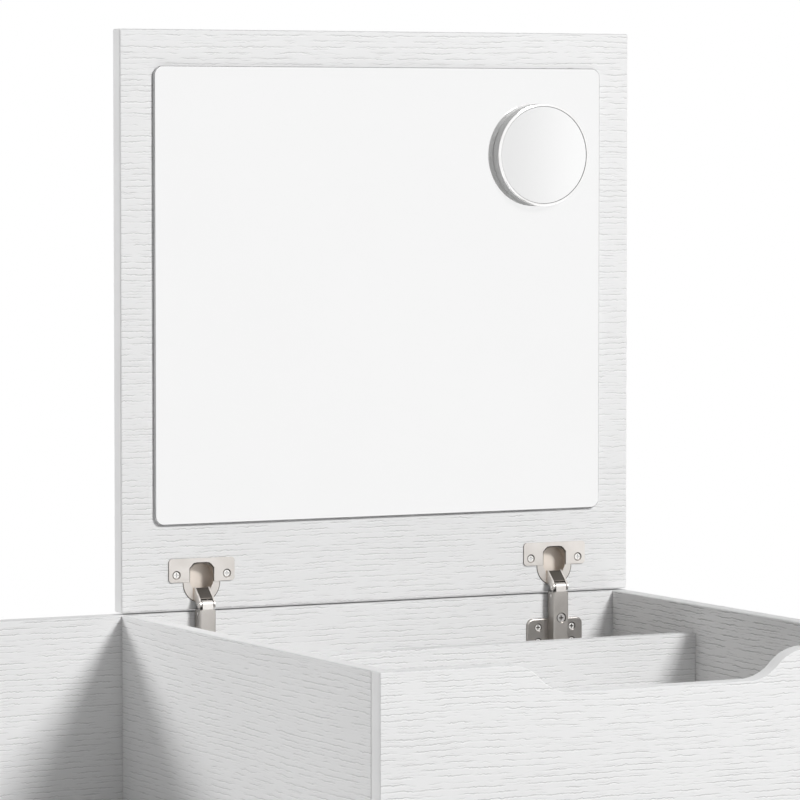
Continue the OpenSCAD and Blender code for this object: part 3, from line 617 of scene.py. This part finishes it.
# Turns a bmesh into an object that rides on a body and stands for a CAD node
def placePiece(bm, name, body, materials, node, sharpDegrees=None):
    mesh = bpy.data.meshes.new(name)
    bm.to_mesh(mesh)
    bm.free()
    for material in materials:
        mesh.materials.append(material)
    mesh.shade_smooth()
    if sharpDegrees is not None:
        mesh.set_sharp_from_angle(angle=math.radians(sharpDegrees))
    piece = bpy.data.objects.new(name, mesh)
    bpy.context.scene.collection.objects.link(piece)
    weighted = piece.modifiers.new("weightedNormals", "WEIGHTED_NORMAL")
    weighted.keep_sharp = True
    weighted.weight = meshSet["normalWeight"]
    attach(piece, body)
    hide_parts(node)
    return piece


# Bevels every edge that turns by more than the given angle and passes the test
def roundEdges(bm, radius, segments, degrees=meshSet["sharpDegrees"], test=None):
    edges = [e for e in bm.edges if e.is_manifold
             and e.calc_face_angle() > math.radians(degrees) and (test is None or test(e))]
    bmesh.ops.bevel(bm, geom=edges, affect="EDGES", offset=radius, offset_type="OFFSET",
                    segments=segments, profile=0.5, material=-1, clamp_overlap=True)


def blockMesh(low, high):
    bm = bmesh.new()
    bmesh.ops.create_cube(bm, size=1.0)
    bmesh.ops.scale(bm, vec=high - low, verts=bm.verts)
    bmesh.ops.translate(bm, vec=(low + high) / 2, verts=bm.verts)
    return bm


boardSet = {
    "edge": 0.0007,
    "sideEdge": 0.0014,
    "edgeSteps": 3,
    "facing": 0.9,                # normals' least share along the axis that a face looks along
    "levelFacing": 0.6,
    "innerFaceArea": 0.01,        # least area of the right panel's inner face
}


# Faces that don't look along the board's thin axis get the bands' materials, 1 and 2, where 2 is the
# level band with painted shade
def bandEdges(bm, thin):
    bm.normal_update()
    for face in bm.faces:
        if abs(face.normal[thin]) > boardSet["facing"]:
            face.material_index = 0
        else:
            face.material_index = 2 if face.normal.z > boardSet["levelFacing"] else 1


def boardPiece(name, node, body, material, radius):
    low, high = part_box(node)
    bm = blockMesh(low, high)
    roundEdges(bm, radius, boardSet["edgeSteps"])
    bandEdges(bm, min(range(3), key=lambda axis: (high - low)[axis]))
    return placePiece(bm, name, body, [material, uprightBand, shadedLevelBand], node)


# The closed, merged mesh of a CAD node, without needless edges
def mergedCopy(node):
    bm = bmesh.new()
    bm.from_mesh(nodes[node].data)
    bmesh.ops.remove_doubles(bm, verts=bm.verts, dist=meshSet["mergeGap"])
    bmesh.ops.dissolve_limit(bm, angle_limit=math.radians(meshSet["flatDegrees"]),
                             verts=bm.verts, edges=bm.edges)
    return bm


# Gives a material to a CAD node that otherwise stays as it is
def dress(node, material):
    for slot in nodes[node].material_slots:
        slot.material = material


# The table's boards

for boardName, node, material, radius in [
    ("backBoard", "back_panel", boardAlongX, boardSet["edge"]),
    ("leftBoard", "left_side_panel", boardAlongY, boardSet["sideEdge"]),
    ("middleBoard", "middle_side_panel", boardAlongY, boardSet["sideEdge"]),
    ("rightBoard", "right_side_panel", boardAlongY, boardSet["sideEdge"]),
    ("trayBoard", "tray_bottom", boardFlatX, boardSet["edge"]),
    ("dividerBoard", "tray_divider", shadedTrayAlongX, boardSet["edge"]),
    ("topBoard", "cabinet_top", boardFlatX, boardSet["edge"]),
    ("floorBoard", "cabinet_bottom", boardFlatX, boardSet["edge"]),
    ("plinthBoard", "plinth_board", boardAlongX, boardSet["edge"]),
    ("railBoard", "knee_rail", boardAlongX, boardSet["edge"]),
]:
    piece = boardPiece(boardName, node, "table", material, radius)
    if boardName == "rightBoard":
        # Its inner face has the tray's foil with painted shade, and its top edge the paler upright
        # band, without the top edges' painted shade
        piece.data.materials.append(shadedTrayAlongY)
        for polygon in piece.data.polygons:
            inwards = polygon.normal.x < -boardSet["facing"]
            if inwards and polygon.area > boardSet["innerFaceArea"]:
                polygon.material_index = 3
            elif polygon.material_index == 2:
                polygon.material_index = 1

frontSet = {
    "scoopWidth": 0.272,
    "drawerScoopWidth": 0.176,
    "flatWidth": 0.166,           # of the wide scoop's bottom
    "depth": 0.024,
    "edge": 0.001,
    "edgeSteps": 3,
    "arcSteps": 12,
    "arcShare": 0.985,            # keeps neighbouring arcs just apart
    "sharpDegrees": 40.0,
}


# A front board whose top edge dips in a shallow scoop with S-shaped ends
def scoopedBoard(name, node, body, scoopWidth, values):
    low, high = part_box(node)
    run = (values["scoopWidth"] - values["flatWidth"]) / 2
    middle = (low.x + high.x) / 2
    arc = (run ** 2 + values["depth"] ** 2) / (4 * values["depth"])
    turn = math.asin(run / 2 / arc)
    reach = arc * math.tan(turn / 2)
    outer, inner = scoopWidth / 2 - reach, scoopWidth / 2 - run + reach
    dip = high.z - values["depth"]
    corners = [(low.x, low.z), (high.x, low.z), (high.x, high.z), (middle + outer, high.z),
               (middle + inner, dip), (middle - inner, dip), (middle - outer, high.z),
               (low.x, high.z)]
    bm = bmesh.new()
    points = [bm.verts.new((x, low.y, z)) for x, z in corners]
    bm.faces.new(points)
    bmesh.ops.bevel(bm, geom=points[3:7], affect="VERTICES", offset=reach * values["arcShare"],
                    offset_type="OFFSET", segments=values["arcSteps"], profile=0.5, material=-1)
    grown = bmesh.ops.extrude_face_region(bm, geom=list(bm.faces))
    moved = [g for g in grown["geom"] if isinstance(g, bmesh.types.BMVert)]
    bmesh.ops.translate(bm, vec=(0, high.y - low.y, 0), verts=moved)
    bmesh.ops.recalc_face_normals(bm, faces=bm.faces)
    roundEdges(bm, values["edge"], values["edgeSteps"])
    bandEdges(bm, 1)
    placePiece(bm, name, body, [boardAlongX, uprightBand, shadedLevelBand], node,
               values["sharpDegrees"])


scoopedBoard("frontBoard", "vanity_front_panel", "table", frontSet["scoopWidth"], frontSet)
dress("cabinet_back", woods["hardboard"])
print("stage: table boards")

# Lid with its mirror

lidSet = {
    "edge": 0.0015,
    "boreRadius": 0.01755,
    "boreDepth": 0.01305,
    "boreDrop": 0.0213,           # from a hinge cup's top edge to its bore's middle
    "boreSteps": 96,
}


# Cuts round blind bores with a boolean, and keeps the result as the piece's mesh
def withBores(piece, centres, values):
    bm = bmesh.new()
    for centre in centres:
        made = bmesh.ops.create_cone(bm, cap_ends=True, segments=values["boreSteps"],
                                     radius1=values["boreRadius"], radius2=values["boreRadius"],
                                     depth=values["boreDepth"] * 2)
        bmesh.ops.rotate(bm, verts=made["verts"], cent=(0, 0, 0),
                         matrix=Matrix.Rotation(math.radians(90), 3, "X"))
        bmesh.ops.translate(bm, verts=made["verts"], vec=centre)
    mesh = bpy.data.meshes.new("cutter")
    bm.to_mesh(mesh)
    bm.free()
    cutter = bpy.data.objects.new("cutter", mesh)
    bpy.context.scene.collection.objects.link(cutter)
    cut = piece.modifiers.new("bores", "BOOLEAN")
    cut.operation = "DIFFERENCE"
    cut.solver = "EXACT"
    cut.object = cutter
    piece.modifiers.move(piece.modifiers.find("bores"), 0)
    bpy.context.view_layer.update()
    seen = piece.evaluated_get(bpy.context.evaluated_depsgraph_get())
    fresh = bpy.data.meshes.new_from_object(seen)
    piece.modifiers.clear()
    piece.data = fresh
    bpy.data.objects.remove(cutter)


lidBoard = boardPiece("lidBoard", "lid_panel", "lid", boardAlongX, lidSet["edge"])
cupCentres = []
for side in ("left", "right"):
    low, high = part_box("hinge_cup_" + side)
    cupCentres.append(Vector(((low.x + high.x) / 2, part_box("lid_panel")[0].y,
                              high.z - lidSet["boreDrop"])))
withBores(lidBoard, cupCentres, lidSet)

largeMirrorSet = {
    "corner": 0.008,
    "cornerSteps": 10,
    "arris": 0.0005,
    "arrisSteps": 2,
    "arrisDegrees": 60.0,         # edges that turn by more are taken off
    "frontFacing": -0.99,
    "sideFacing": 0.5,
    "sharpDegrees": 50.0,
}


def largeMirror(values):
    low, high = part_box("mirror_glass")
    bm = blockMesh(low, high)
    through = [e for e in bm.edges if e.verts[0].co.y != e.verts[1].co.y]
    bmesh.ops.bevel(bm, geom=through, affect="EDGES", offset=values["corner"],
                    offset_type="OFFSET", segments=values["cornerSteps"], profile=0.5,
                    material=-1)
    roundEdges(bm, values["arris"], values["arrisSteps"], values["arrisDegrees"])
    # Upright edges take the lighter edge copy and level ones the darker copy, painted light and
    # shade
    for face in bm.faces:
        if face.normal.y > values["frontFacing"]:
            face.material_index = 1 if abs(face.normal.x) > values["sideFacing"] else 2
    placePiece(bm, "largeMirror", "lid", [silver, sideEdge, shadedLevelEdge],
               "mirror_glass", values["sharpDegrees"])


largeMirror(largeMirrorSet)
dress("mirror_backing", plastics["mirrorBack"])
print("stage: lid and mirror")

# Round mirror

roundMirrorSet = {
    "steps": 128,
    "sharpDegrees": 35.0,
    "mergeGap": 0.000002,
    "edge": 0.0002,
    "wall": 0.002,                # the housing's thickness, and its chamfers at base and top
    "wallCut": 0.0004,
    "wallTopCut": 0.0003,
    "rimRoll": (0.0012, 0.0009),  # across and along the mirror's axis
    "rimRollSteps": 6,
    "rimInnerCut": (0.0004, 0.0008),
    "rimWall": 0.0003,            # the rim's inner wall is dark up to this far from the disc
    "bowlDepth": 0.0012,
    "bowlSteps": 24,
}


# Spins a profile of (radius, height out of the lid) about an axis that points at -Y
def turned(name, node, profile, centre, materials, pick=None):
    bm = bmesh.new()
    points = [bm.verts.new((r, 0, h)) for r, h in profile]
    edges = [bm.edges.new((a, b)) for a, b in zip(points, points[1:])]
    bmesh.ops.spin(bm, geom=points + edges, cent=(0, 0, 0), axis=(0, 0, 1), angle=math.tau,
                   steps=roundMirrorSet["steps"], use_merge=True)
    bmesh.ops.remove_doubles(bm, verts=bm.verts, dist=roundMirrorSet["mergeGap"])
    bmesh.ops.recalc_face_normals(bm, faces=bm.faces)
    bmesh.ops.rotate(bm, verts=bm.verts, cent=(0, 0, 0),
                     matrix=Matrix.Rotation(math.radians(90), 3, "X"))
    bmesh.ops.translate(bm, verts=bm.verts, vec=centre)
    if pick:
        for face in bm.faces:
            face.material_index = pick(face)
    placePiece(bm, name, "round_mirror", materials, node, roundMirrorSet["sharpDegrees"])


def roundMirror(values):
    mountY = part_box("mirror_glass")[0].y
    rimLow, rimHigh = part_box("round_mirror_rim")
    centre = Vector(((rimLow.x + rimHigh.x) / 2, mountY, (rimLow.z + rimHigh.z) / 2))
    outer = (rimHigh.x - rimLow.x) / 2
    inner = (discHigh.x - discLow.x) / 2
    rimBase, rimTop = mountY - rimHigh.y, mountY - rimLow.y
    bowlBase, bowlTop = mountY - discHigh.y, mountY - discLow.y
    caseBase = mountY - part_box("round_mirror_housing")[1].y
    soft, wallCut, topCut = values["edge"], values["wallCut"], values["wallTopCut"]
    wall = outer - values["wall"]
    turned("roundMirrorCase", "round_mirror_housing", [
        (wall, caseBase + wallCut), (wall + wallCut, caseBase),
        (outer - soft, caseBase), (outer, caseBase + soft),
        (outer, rimBase - topCut), (outer - topCut, rimBase), (wall, rimBase),
        (wall, caseBase + wallCut)],
        centre, [plastics["housingGrey"]])

    rollAcross, rollAlong = values["rimRoll"]
    turns = [math.pi / 2 * (1 - i / values["rimRollSteps"])
             for i in range(values["rimRollSteps"] + 1)]
    roll = [(outer + rollAcross * (math.sin(a) - 1), rimTop + rollAlong * (math.cos(a) - 1))
            for a in turns]
    cutAcross, cutAlong = values["rimInnerCut"]

    # The rim's inner wall near the disc is near-black, painted shade in the gap
    def pickRim(face):
        middle = face.calc_center_median() - centre
        return 1 if math.hypot(middle.x, middle.z) < inner + values["rimWall"] else 0

    turned("roundMirrorRim", "round_mirror_rim", [
        (inner, rimBase), (outer - soft, rimBase), (outer, rimBase + soft), *roll,
        (inner + cutAcross, rimTop), (inner, rimTop - cutAlong), (inner, rimBase)],
        centre, [metals["bareRim"], plastics["rimGapShade"]], pickRim)

    shares = [i / values["bowlSteps"] for i in range(values["bowlSteps"] + 1)]
    bowl = [(inner * share, bowlTop - values["bowlDepth"] * (1 - share ** 2))
            for share in shares]
    turned("roundMirrorBowl", "round_mirror_glass",
           bowl + [(inner, bowlBase), (0.0, bowlBase)], centre, [bowlSilverPaintedFade])


roundMirror(roundMirrorSet)
dress("round_mirror_grip", plastics["gripPad"])
dress("round_mirror_base", plastics["backGrey"])
print("stage: round mirror")

# Hinges

hingePartSet = {
    "edgeSteps": 2,
    "sharpDegrees": 40.0,         # edges that turn by more are rounded, and shade sharp
}


# Rounds a hinge part's edges, all of them or those that pass the test
def soften(bm, radius, steps=hingePartSet["edgeSteps"], test=None):
    roundEdges(bm, radius, steps, hingePartSet["sharpDegrees"], test)


def placeMetal(bm, name, node, body, metalNames):
    placePiece(bm, name, body, [metals[metalName] for metalName in metalNames], node,
               hingePartSet["sharpDegrees"])


# The middle of a hinge across the table, on the back panel's front face, at its top
def hingeOrigin(side):
    low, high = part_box("hinge_arm_" + side)
    panelLow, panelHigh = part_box("back_panel")
    return Vector(((low.x + high.x) / 2, panelLow.y, panelHigh.z))


# Whether both ends of an edge have this coordinate on an axis
def liesAt(edge, axis, value):
    return all(abs(v.co[axis] - value) < meshSet["close"] for v in edge.verts)


# How far a place is from an axis along Y
def awayFrom(place, x, z):
    return math.hypot(place.x - x, place.z - z)


# Screw seats are listed as (x, z, radius)
seatSet = {
    "dish": 0.0007,
    "dishSteps": 2,
    "dishDegrees": 25.0,
    "frontFacing": -0.99,
    "litFrom": 0.3,               # a wall stays bright that faces the light more than this
    "towardsLight": (0.4, 0.9),   # along X and Z
}


def dishSeats(bm, seats, front):
    def onRim(edge):
        return liesAt(edge, 1, front) and all(
            any(awayFrom(v.co, x, z) < radius for x, z, radius in seats) for v in edge.verts)

    roundEdges(bm, seatSet["dish"], seatSet["dishSteps"], seatSet["dishDegrees"], onRim)


# Paints shade on the walls of the seats, except where they face the light
def paintSeatShade(bm, seats):
    bm.normal_update()
    lightX, lightZ = seatSet["towardsLight"]
    for face in bm.faces:
        if face.normal.y < seatSet["frontFacing"]:
            continue
        middle = face.calc_center_median()
        for x, z, radius in seats:
            if awayFrom(middle, x, z) < radius + seatSet["dish"]:
                facing = face.normal.z * lightZ + face.normal.x * lightX
                face.material_index = 1 if facing < seatSet["litFrom"] else 0


cupSet = {
    "edge": 0.0005,
    "wingHeight": 0.0204,         # from the cup's top edge to its wings' lower edge
    "wingStep": 0.0008,           # how far the flange below lies behind the wings
    "stepCuts": (0.0001, 0.0003),  # below the wings, where the step begins and ends
    "cutGap": 0.000001,
    "boreDrop": 0.0009,           # from the wings' lower edge to the bore's middle
    "windowRoll": 0.0009,
    "windowRollSteps": 4,
    "windowHalf": 0.0109,         # half the window's width, and half its flat top's
    "windowTopHalf": 0.0072,
    "windowShoulder": 0.0125,     # heights above the bore's middle; the top is also
    "windowTop": 0.0168,          # the radius of the CAD's arch
    "archFrom": 0.009,            # the arch's points lie higher than this
    "archSpread": 0.0002,
    "sideFrom": -0.0015,          # and those of the CAD's straight sides higher than this,
    "sideSpan": (0.0115, 0.012),  # this far from the middle
    "windowReach": (0.0131, 0.0196),  # the window's rim lies within this width and radius
    "rollDepth": 0.0015,
    "rollTilt": (-0.985, -0.05),  # along Y, the flattest and steepest normals of the dark roll
    "screwHalf": 0.024,           # half the distance between the two screws
    "screwRise": 0.0072,          # above the bore's middle
    "seatRadius": 0.0039,
    "edgeFacing": 0.97,           # an edge's normals have less than this along Y
    "underFacing": -0.3,          # and its underside's less than this along Z
    "flangeRadius": 0.0173,
    "flangeDepth": 0.0021,
    "flangeFacing": -0.999,
    "flangeLine": 0.0006,
    "flangeLineFrom": 0.0171,
    "hollowRadius": 0.01685,
    "hollowDepth": 0.0013,
}


# Cuts the upper corners of the cup's window straight, and draws its sides in a little
def squareWindow(bm, front, bore, values):
    half, topHalf = values["windowHalf"], values["windowTopHalf"]
    shoulder, top = values["windowShoulder"], values["windowTop"]
    slant = math.atan2(top - shoulder, half - topHalf)
    reach = half * math.sin(slant) + shoulder * math.cos(slant)
    sideLow, sideHigh = values["sideSpan"]
    for vert in bm.verts:
        if vert.co.y > front + values["wingStep"] + meshSet["close"]:
            continue
        across, up = vert.co.x - bore.x, vert.co.z - bore.z
        fromTop = abs(math.hypot(across, up) - top)
        if up > values["archFrom"] and fromTop < values["archSpread"]:
            turn = math.atan2(abs(across), up)
            toSide = half / math.sin(turn) if turn else math.inf
            away = min(top / math.cos(turn), toSide, reach / math.cos(turn - slant))
            vert.co.x = bore.x + math.copysign(away * math.sin(turn), across)
            vert.co.z = bore.z + away * math.cos(turn)
        elif up > values["sideFrom"] and sideLow < abs(across) < sideHigh:
            vert.co.x = bore.x + math.copysign(half, across)


def hingeCup(side, values):
    node = "hinge_cup_" + side
    bm = mergedCopy(node)
    low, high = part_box(node)
    front = low.y
    wingLow = high.z - values["wingHeight"]
    bore = Vector((hingeOrigin(side).x, 0, wingLow - values["boreDrop"]))
    for drop in values["stepCuts"]:
        bmesh.ops.bisect_plane(bm, geom=list(bm.verts) + list(bm.edges) + list(bm.faces),
                               plane_co=(0, 0, wingLow - drop), plane_no=(0, 0, 1),
                               dist=values["cutGap"])
    stepZ = wingLow - sum(values["stepCuts"]) / 2
    for vert in bm.verts:
        if abs(vert.co.y - front) < meshSet["close"] and vert.co.z < stepZ:
            vert.co.y += values["wingStep"]
    squareWindow(bm, front, bore, values)
    windowWidth, windowRadius = values["windowReach"]

    def inWindow(place, lowest):
        return (awayFrom(place, bore.x, bore.z) < windowRadius and place.z > lowest
                and abs(place.x - bore.x) < windowWidth)

    def onWindow(edge):
        return liesAt(edge, 1, front) and all(inWindow(v.co, stepZ) for v in edge.verts)

    soften(bm, values["windowRoll"], values["windowRollSteps"], onWindow)
    # The roll carries painted shade all round the window's upper part
    bm.normal_update()
    flattest, steepest = values["rollTilt"]
    for face in bm.faces:
        middle = face.calc_center_median()
        if (flattest < face.normal.y < steepest and middle.y < front + values["rollDepth"]
                and inWindow(middle, wingLow)):
            face.material_index = 1
    seats = [(bore.x + x, bore.z + values["screwRise"], values["seatRadius"])
             for x in (-values["screwHalf"], values["screwHalf"])]
    dishSeats(bm, seats, front)
    soften(bm, values["edge"])
    paintSeatShade(bm, seats)
    # The flange's outer edges carry painted shade, darkest on their undersides, and the cup's hollow
    # has a warmer tone
    for face in bm.faces:
        middle = face.calc_center_median()
        away = awayFrom(middle, bore.x, bore.z)
        depth = middle.y - front
        if (abs(face.normal.y) < values["edgeFacing"] and depth < values["flangeDepth"]
                and away > values["flangeRadius"] and not inWindow(middle, wingLow)):
            face.material_index = 1 if face.normal.z < values["underFacing"] else 2
        elif depth > values["hollowDepth"] and away < values["hollowRadius"]:
            face.material_index = 3
    # The flange below the wings has an outline of painted shade
    flangeY = front + values["wingStep"]
    flange = [f for f in bm.faces if f.normal.y < values["flangeFacing"]
              and abs(f.calc_center_median().y - flangeY) < meshSet["close"]]
    outline = bmesh.ops.inset_region(bm, faces=flange, thickness=values["flangeLine"],
                                     use_even_offset=True)["faces"]
    for face in outline:
        if awayFrom(face.calc_center_median(), bore.x, bore.z) > values["flangeLineFrom"]:
            face.material_index = 1
    placeMetal(bm, "hingeCup." + side, node, "lid",
               ["nickel", "paintedShadeNickel", "edgeShadeNickel", "cupNickel"])
    return seats


armSet = {
    "bend": 0.0014,
    "bendSteps": 5,
    "edge": 0.0003,
    "screwDrop": 0.021,           # from the back panel's top to the adjusting screw
    "seatRadius": 0.0049,
    "knuckleFrom": 0.0027,        # heights above the back panel's top
    "topFrom": 0.0022,
    "softFacing": 0.3,            # least shares of a face's normal along X or Z
    "flankFacing": 0.9,
}


def hingeArm(side, values):
    node = "hinge_arm_" + side
    bm = mergedCopy(node)
    low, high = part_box(node)
    origin = hingeOrigin(side)

    def onBend(edge):
        return liesAt(edge, 1, low.y) and (liesAt(edge, 0, low.x) or liesAt(edge, 0, high.x))

    soften(bm, values["bend"], values["bendSteps"], onBend)
    seats = [(origin.x, origin.z - values["screwDrop"], values["seatRadius"])]
    dishSeats(bm, seats, low.y)
    soften(bm, values["edge"])
    paintSeatShade(bm, seats)
    # The knuckle above the arm has a painted highlight; its flanks and the arm's top edge have
    # painted shade, and the arm's sides take the darker plate nickel as painted shade
    for face in bm.faces:
        rise = face.calc_center_median().z - origin.z
        if rise > values["knuckleFrom"]:
            face.material_index = 1 if abs(face.normal.x) > values["softFacing"] else 2
        elif rise > values["topFrom"] and face.normal.z > values["softFacing"]:
            face.material_index = 1
        elif abs(face.normal.x) > values["flankFacing"]:
            face.material_index = 3
    placeMetal(bm, "hingeArm." + side, node, "table",
               ["armNickel", "paintedShadeNickel", "knuckleHighlightNickel", "plateNickel"])


plateSet = {
    "roll": 0.0016,
    "rollSteps": 4,
    "edge": 0.0003,
    "wingDepth": 0.0025,          # the wings' front face, out from the back panel
    "wingDrop": 0.022,            # from the back panel's top to the wings' upper edge
    "rimWidth": 0.0062,           # the rounded corners lie this near the sides
    "rimSlack": 0.0001,
    "screwHalf": 0.0172,          # half the distance between two screws
    "screwDrops": (0.008, 0.021),  # below the wings' upper edge
    "seatRadius": 0.0039,
}


def hingePlate(side, values):
    node = "hinge_plate_" + side
    bm = mergedCopy(node)
    low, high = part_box(node)
    origin = hingeOrigin(side)
    wingFront = origin.y - values["wingDepth"]
    wingTop = origin.z - values["wingDrop"]
    slack, rimWidth = values["rimSlack"], values["rimWidth"]

    def onRim(edge):
        return liesAt(edge, 1, wingFront) and all(
            v.co.x < low.x + rimWidth or v.co.x > high.x - rimWidth
            or v.co.z > wingTop - slack or v.co.z < low.z + slack for v in edge.verts)

    soften(bm, values["roll"], values["rollSteps"], onRim)
    seats = [(origin.x + x, wingTop - drop, values["seatRadius"])
             for x in (-values["screwHalf"], values["screwHalf"])
             for drop in values["screwDrops"]]
    dishSeats(bm, seats, wingFront)
    soften(bm, values["edge"])
    paintSeatShade(bm, seats)
    placeMetal(bm, "hingePlate." + side, node, "table",
               ["plateNickel", "paintedShadeNickel"])
    return seats


linkSet = {"edge": 0.0003, "webHalf": 0.006, "flankFacing": 0.5}


# The outer link's web carries painted shade, as do the inner sides of its two bright cheeks
def outerLink(side, values):
    node = "outer_link_" + side
    bm = mergedCopy(node)
    middleX = hingeOrigin(side).x
    soften(bm, values["edge"])
    for face in bm.faces:
        across = face.calc_center_median().x - middleX
        inwards = abs(face.normal.x) < values["flankFacing"] or across * face.normal.x < 0
        face.material_index = 1 if abs(across) < values["webHalf"] and inwards else 0
    placeMetal(bm, "outerLink." + side, node, "outer_links",
               ["nickel", "paintedShadeNickel"])


def innerLink(side, values):
    node = "inner_link_" + side
    bm = mergedCopy(node)
    soften(bm, values["edge"])
    placeMetal(bm, "innerLink." + side, node, "inner_links", ["plateNickel"])


cupSeats, plateSeats = [], []
for side in ("left", "right"):
    cupSeats += hingeCup(side, cupSet)
    hingeArm(side, armSet)
    plateSeats += hingePlate(side, plateSet)
    outerLink(side, linkSet)
    innerLink(side, linkSet)

screwSet = {
    "edge": 0.00025,
    "headDepth": 0.00025,         # faces this near a head's front are bright
    "headFacing": -0.2,
    "recessReach": 0.0015,        # the small screws' cross recesses, and how much they widen
    "recessGrow": 1.4,
    "fixingHead": 0.0137,         # the arm's deeper screw head, out from the back panel
}


# Screws with bright rounded heads over recesses and shanks in painted shade; the heads look towards
# -Y
def hingeScrews(name, node, body, fronts, head, seats=()):
    bm = mergedCopy(node)
    grow = screwSet["recessGrow"]
    for vert in bm.verts:
        for x, z, _ in seats:
            if awayFrom(vert.co, x, z) < screwSet["recessReach"]:
                vert.co.x, vert.co.z = x + (vert.co.x - x) * grow, z + (vert.co.z - z) * grow
    soften(bm, screwSet["edge"],
           test=lambda edge: any(liesAt(edge, 1, front) for front in fronts))
    for face in bm.faces:
        depth = min((face.calc_center_median().y - front for front in fronts), key=abs)
        bright = depth < screwSet["headDepth"] and face.normal.y < screwSet["headFacing"]
        face.material_index = 0 if bright else 1
    placeMetal(bm, name, node, body, [head, "paintedShadeNickel"])


plateHeads = [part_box("hinge_plate_screws")[0].y]
cupHeads = [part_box("hinge_cup_screws")[0].y]
armHeads = [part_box("arm_fixing_screws")[0].y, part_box("back_panel")[0].y - screwSet["fixingHead"]]
hingeScrews("plateScrews", "hinge_plate_screws", "table", plateHeads, "screwZinc", plateSeats)
hingeScrews("cupScrews", "hinge_cup_screws", "lid", cupHeads, "screwZinc", cupSeats)
hingeScrews("armScrews", "arm_fixing_screws", "table", armHeads, "armZinc")
for node in ("hinge_arm_pins", "hinge_cup_pins", "cam_bolts", "back_panel_pins",
             "cabinet_runner_screws", "upper_drawer_screws", "lower_drawer_screws"):
    dress(node, metals["zinc"])
dress("cam_locks", metals["castZinc"])
dress("dowels", woods["beech"])
dress("glides", plastics["glideGrey"])
print("stage: hinges")

# Drawers

for level in ("upper", "lower"):
    scoopedBoard(level + "DrawerFront", level + "_drawer_front", level + "_drawer",
                 frontSet["drawerScoopWidth"], frontSet)
    dress(level + "_drawer_sides", boardAlongY)
    dress(level + "_drawer_ends", boardAlongX)
    dress(level + "_drawer_bottom", boardFlatX)
    dress(level + "_drawer_runners", metals["runnerSteel"])
    dress(level + "_middle_runners", metals["runnerSteel"])
dress("cabinet_runners", metals["runnerSteel"])
print("stage: drawers")

low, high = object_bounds()
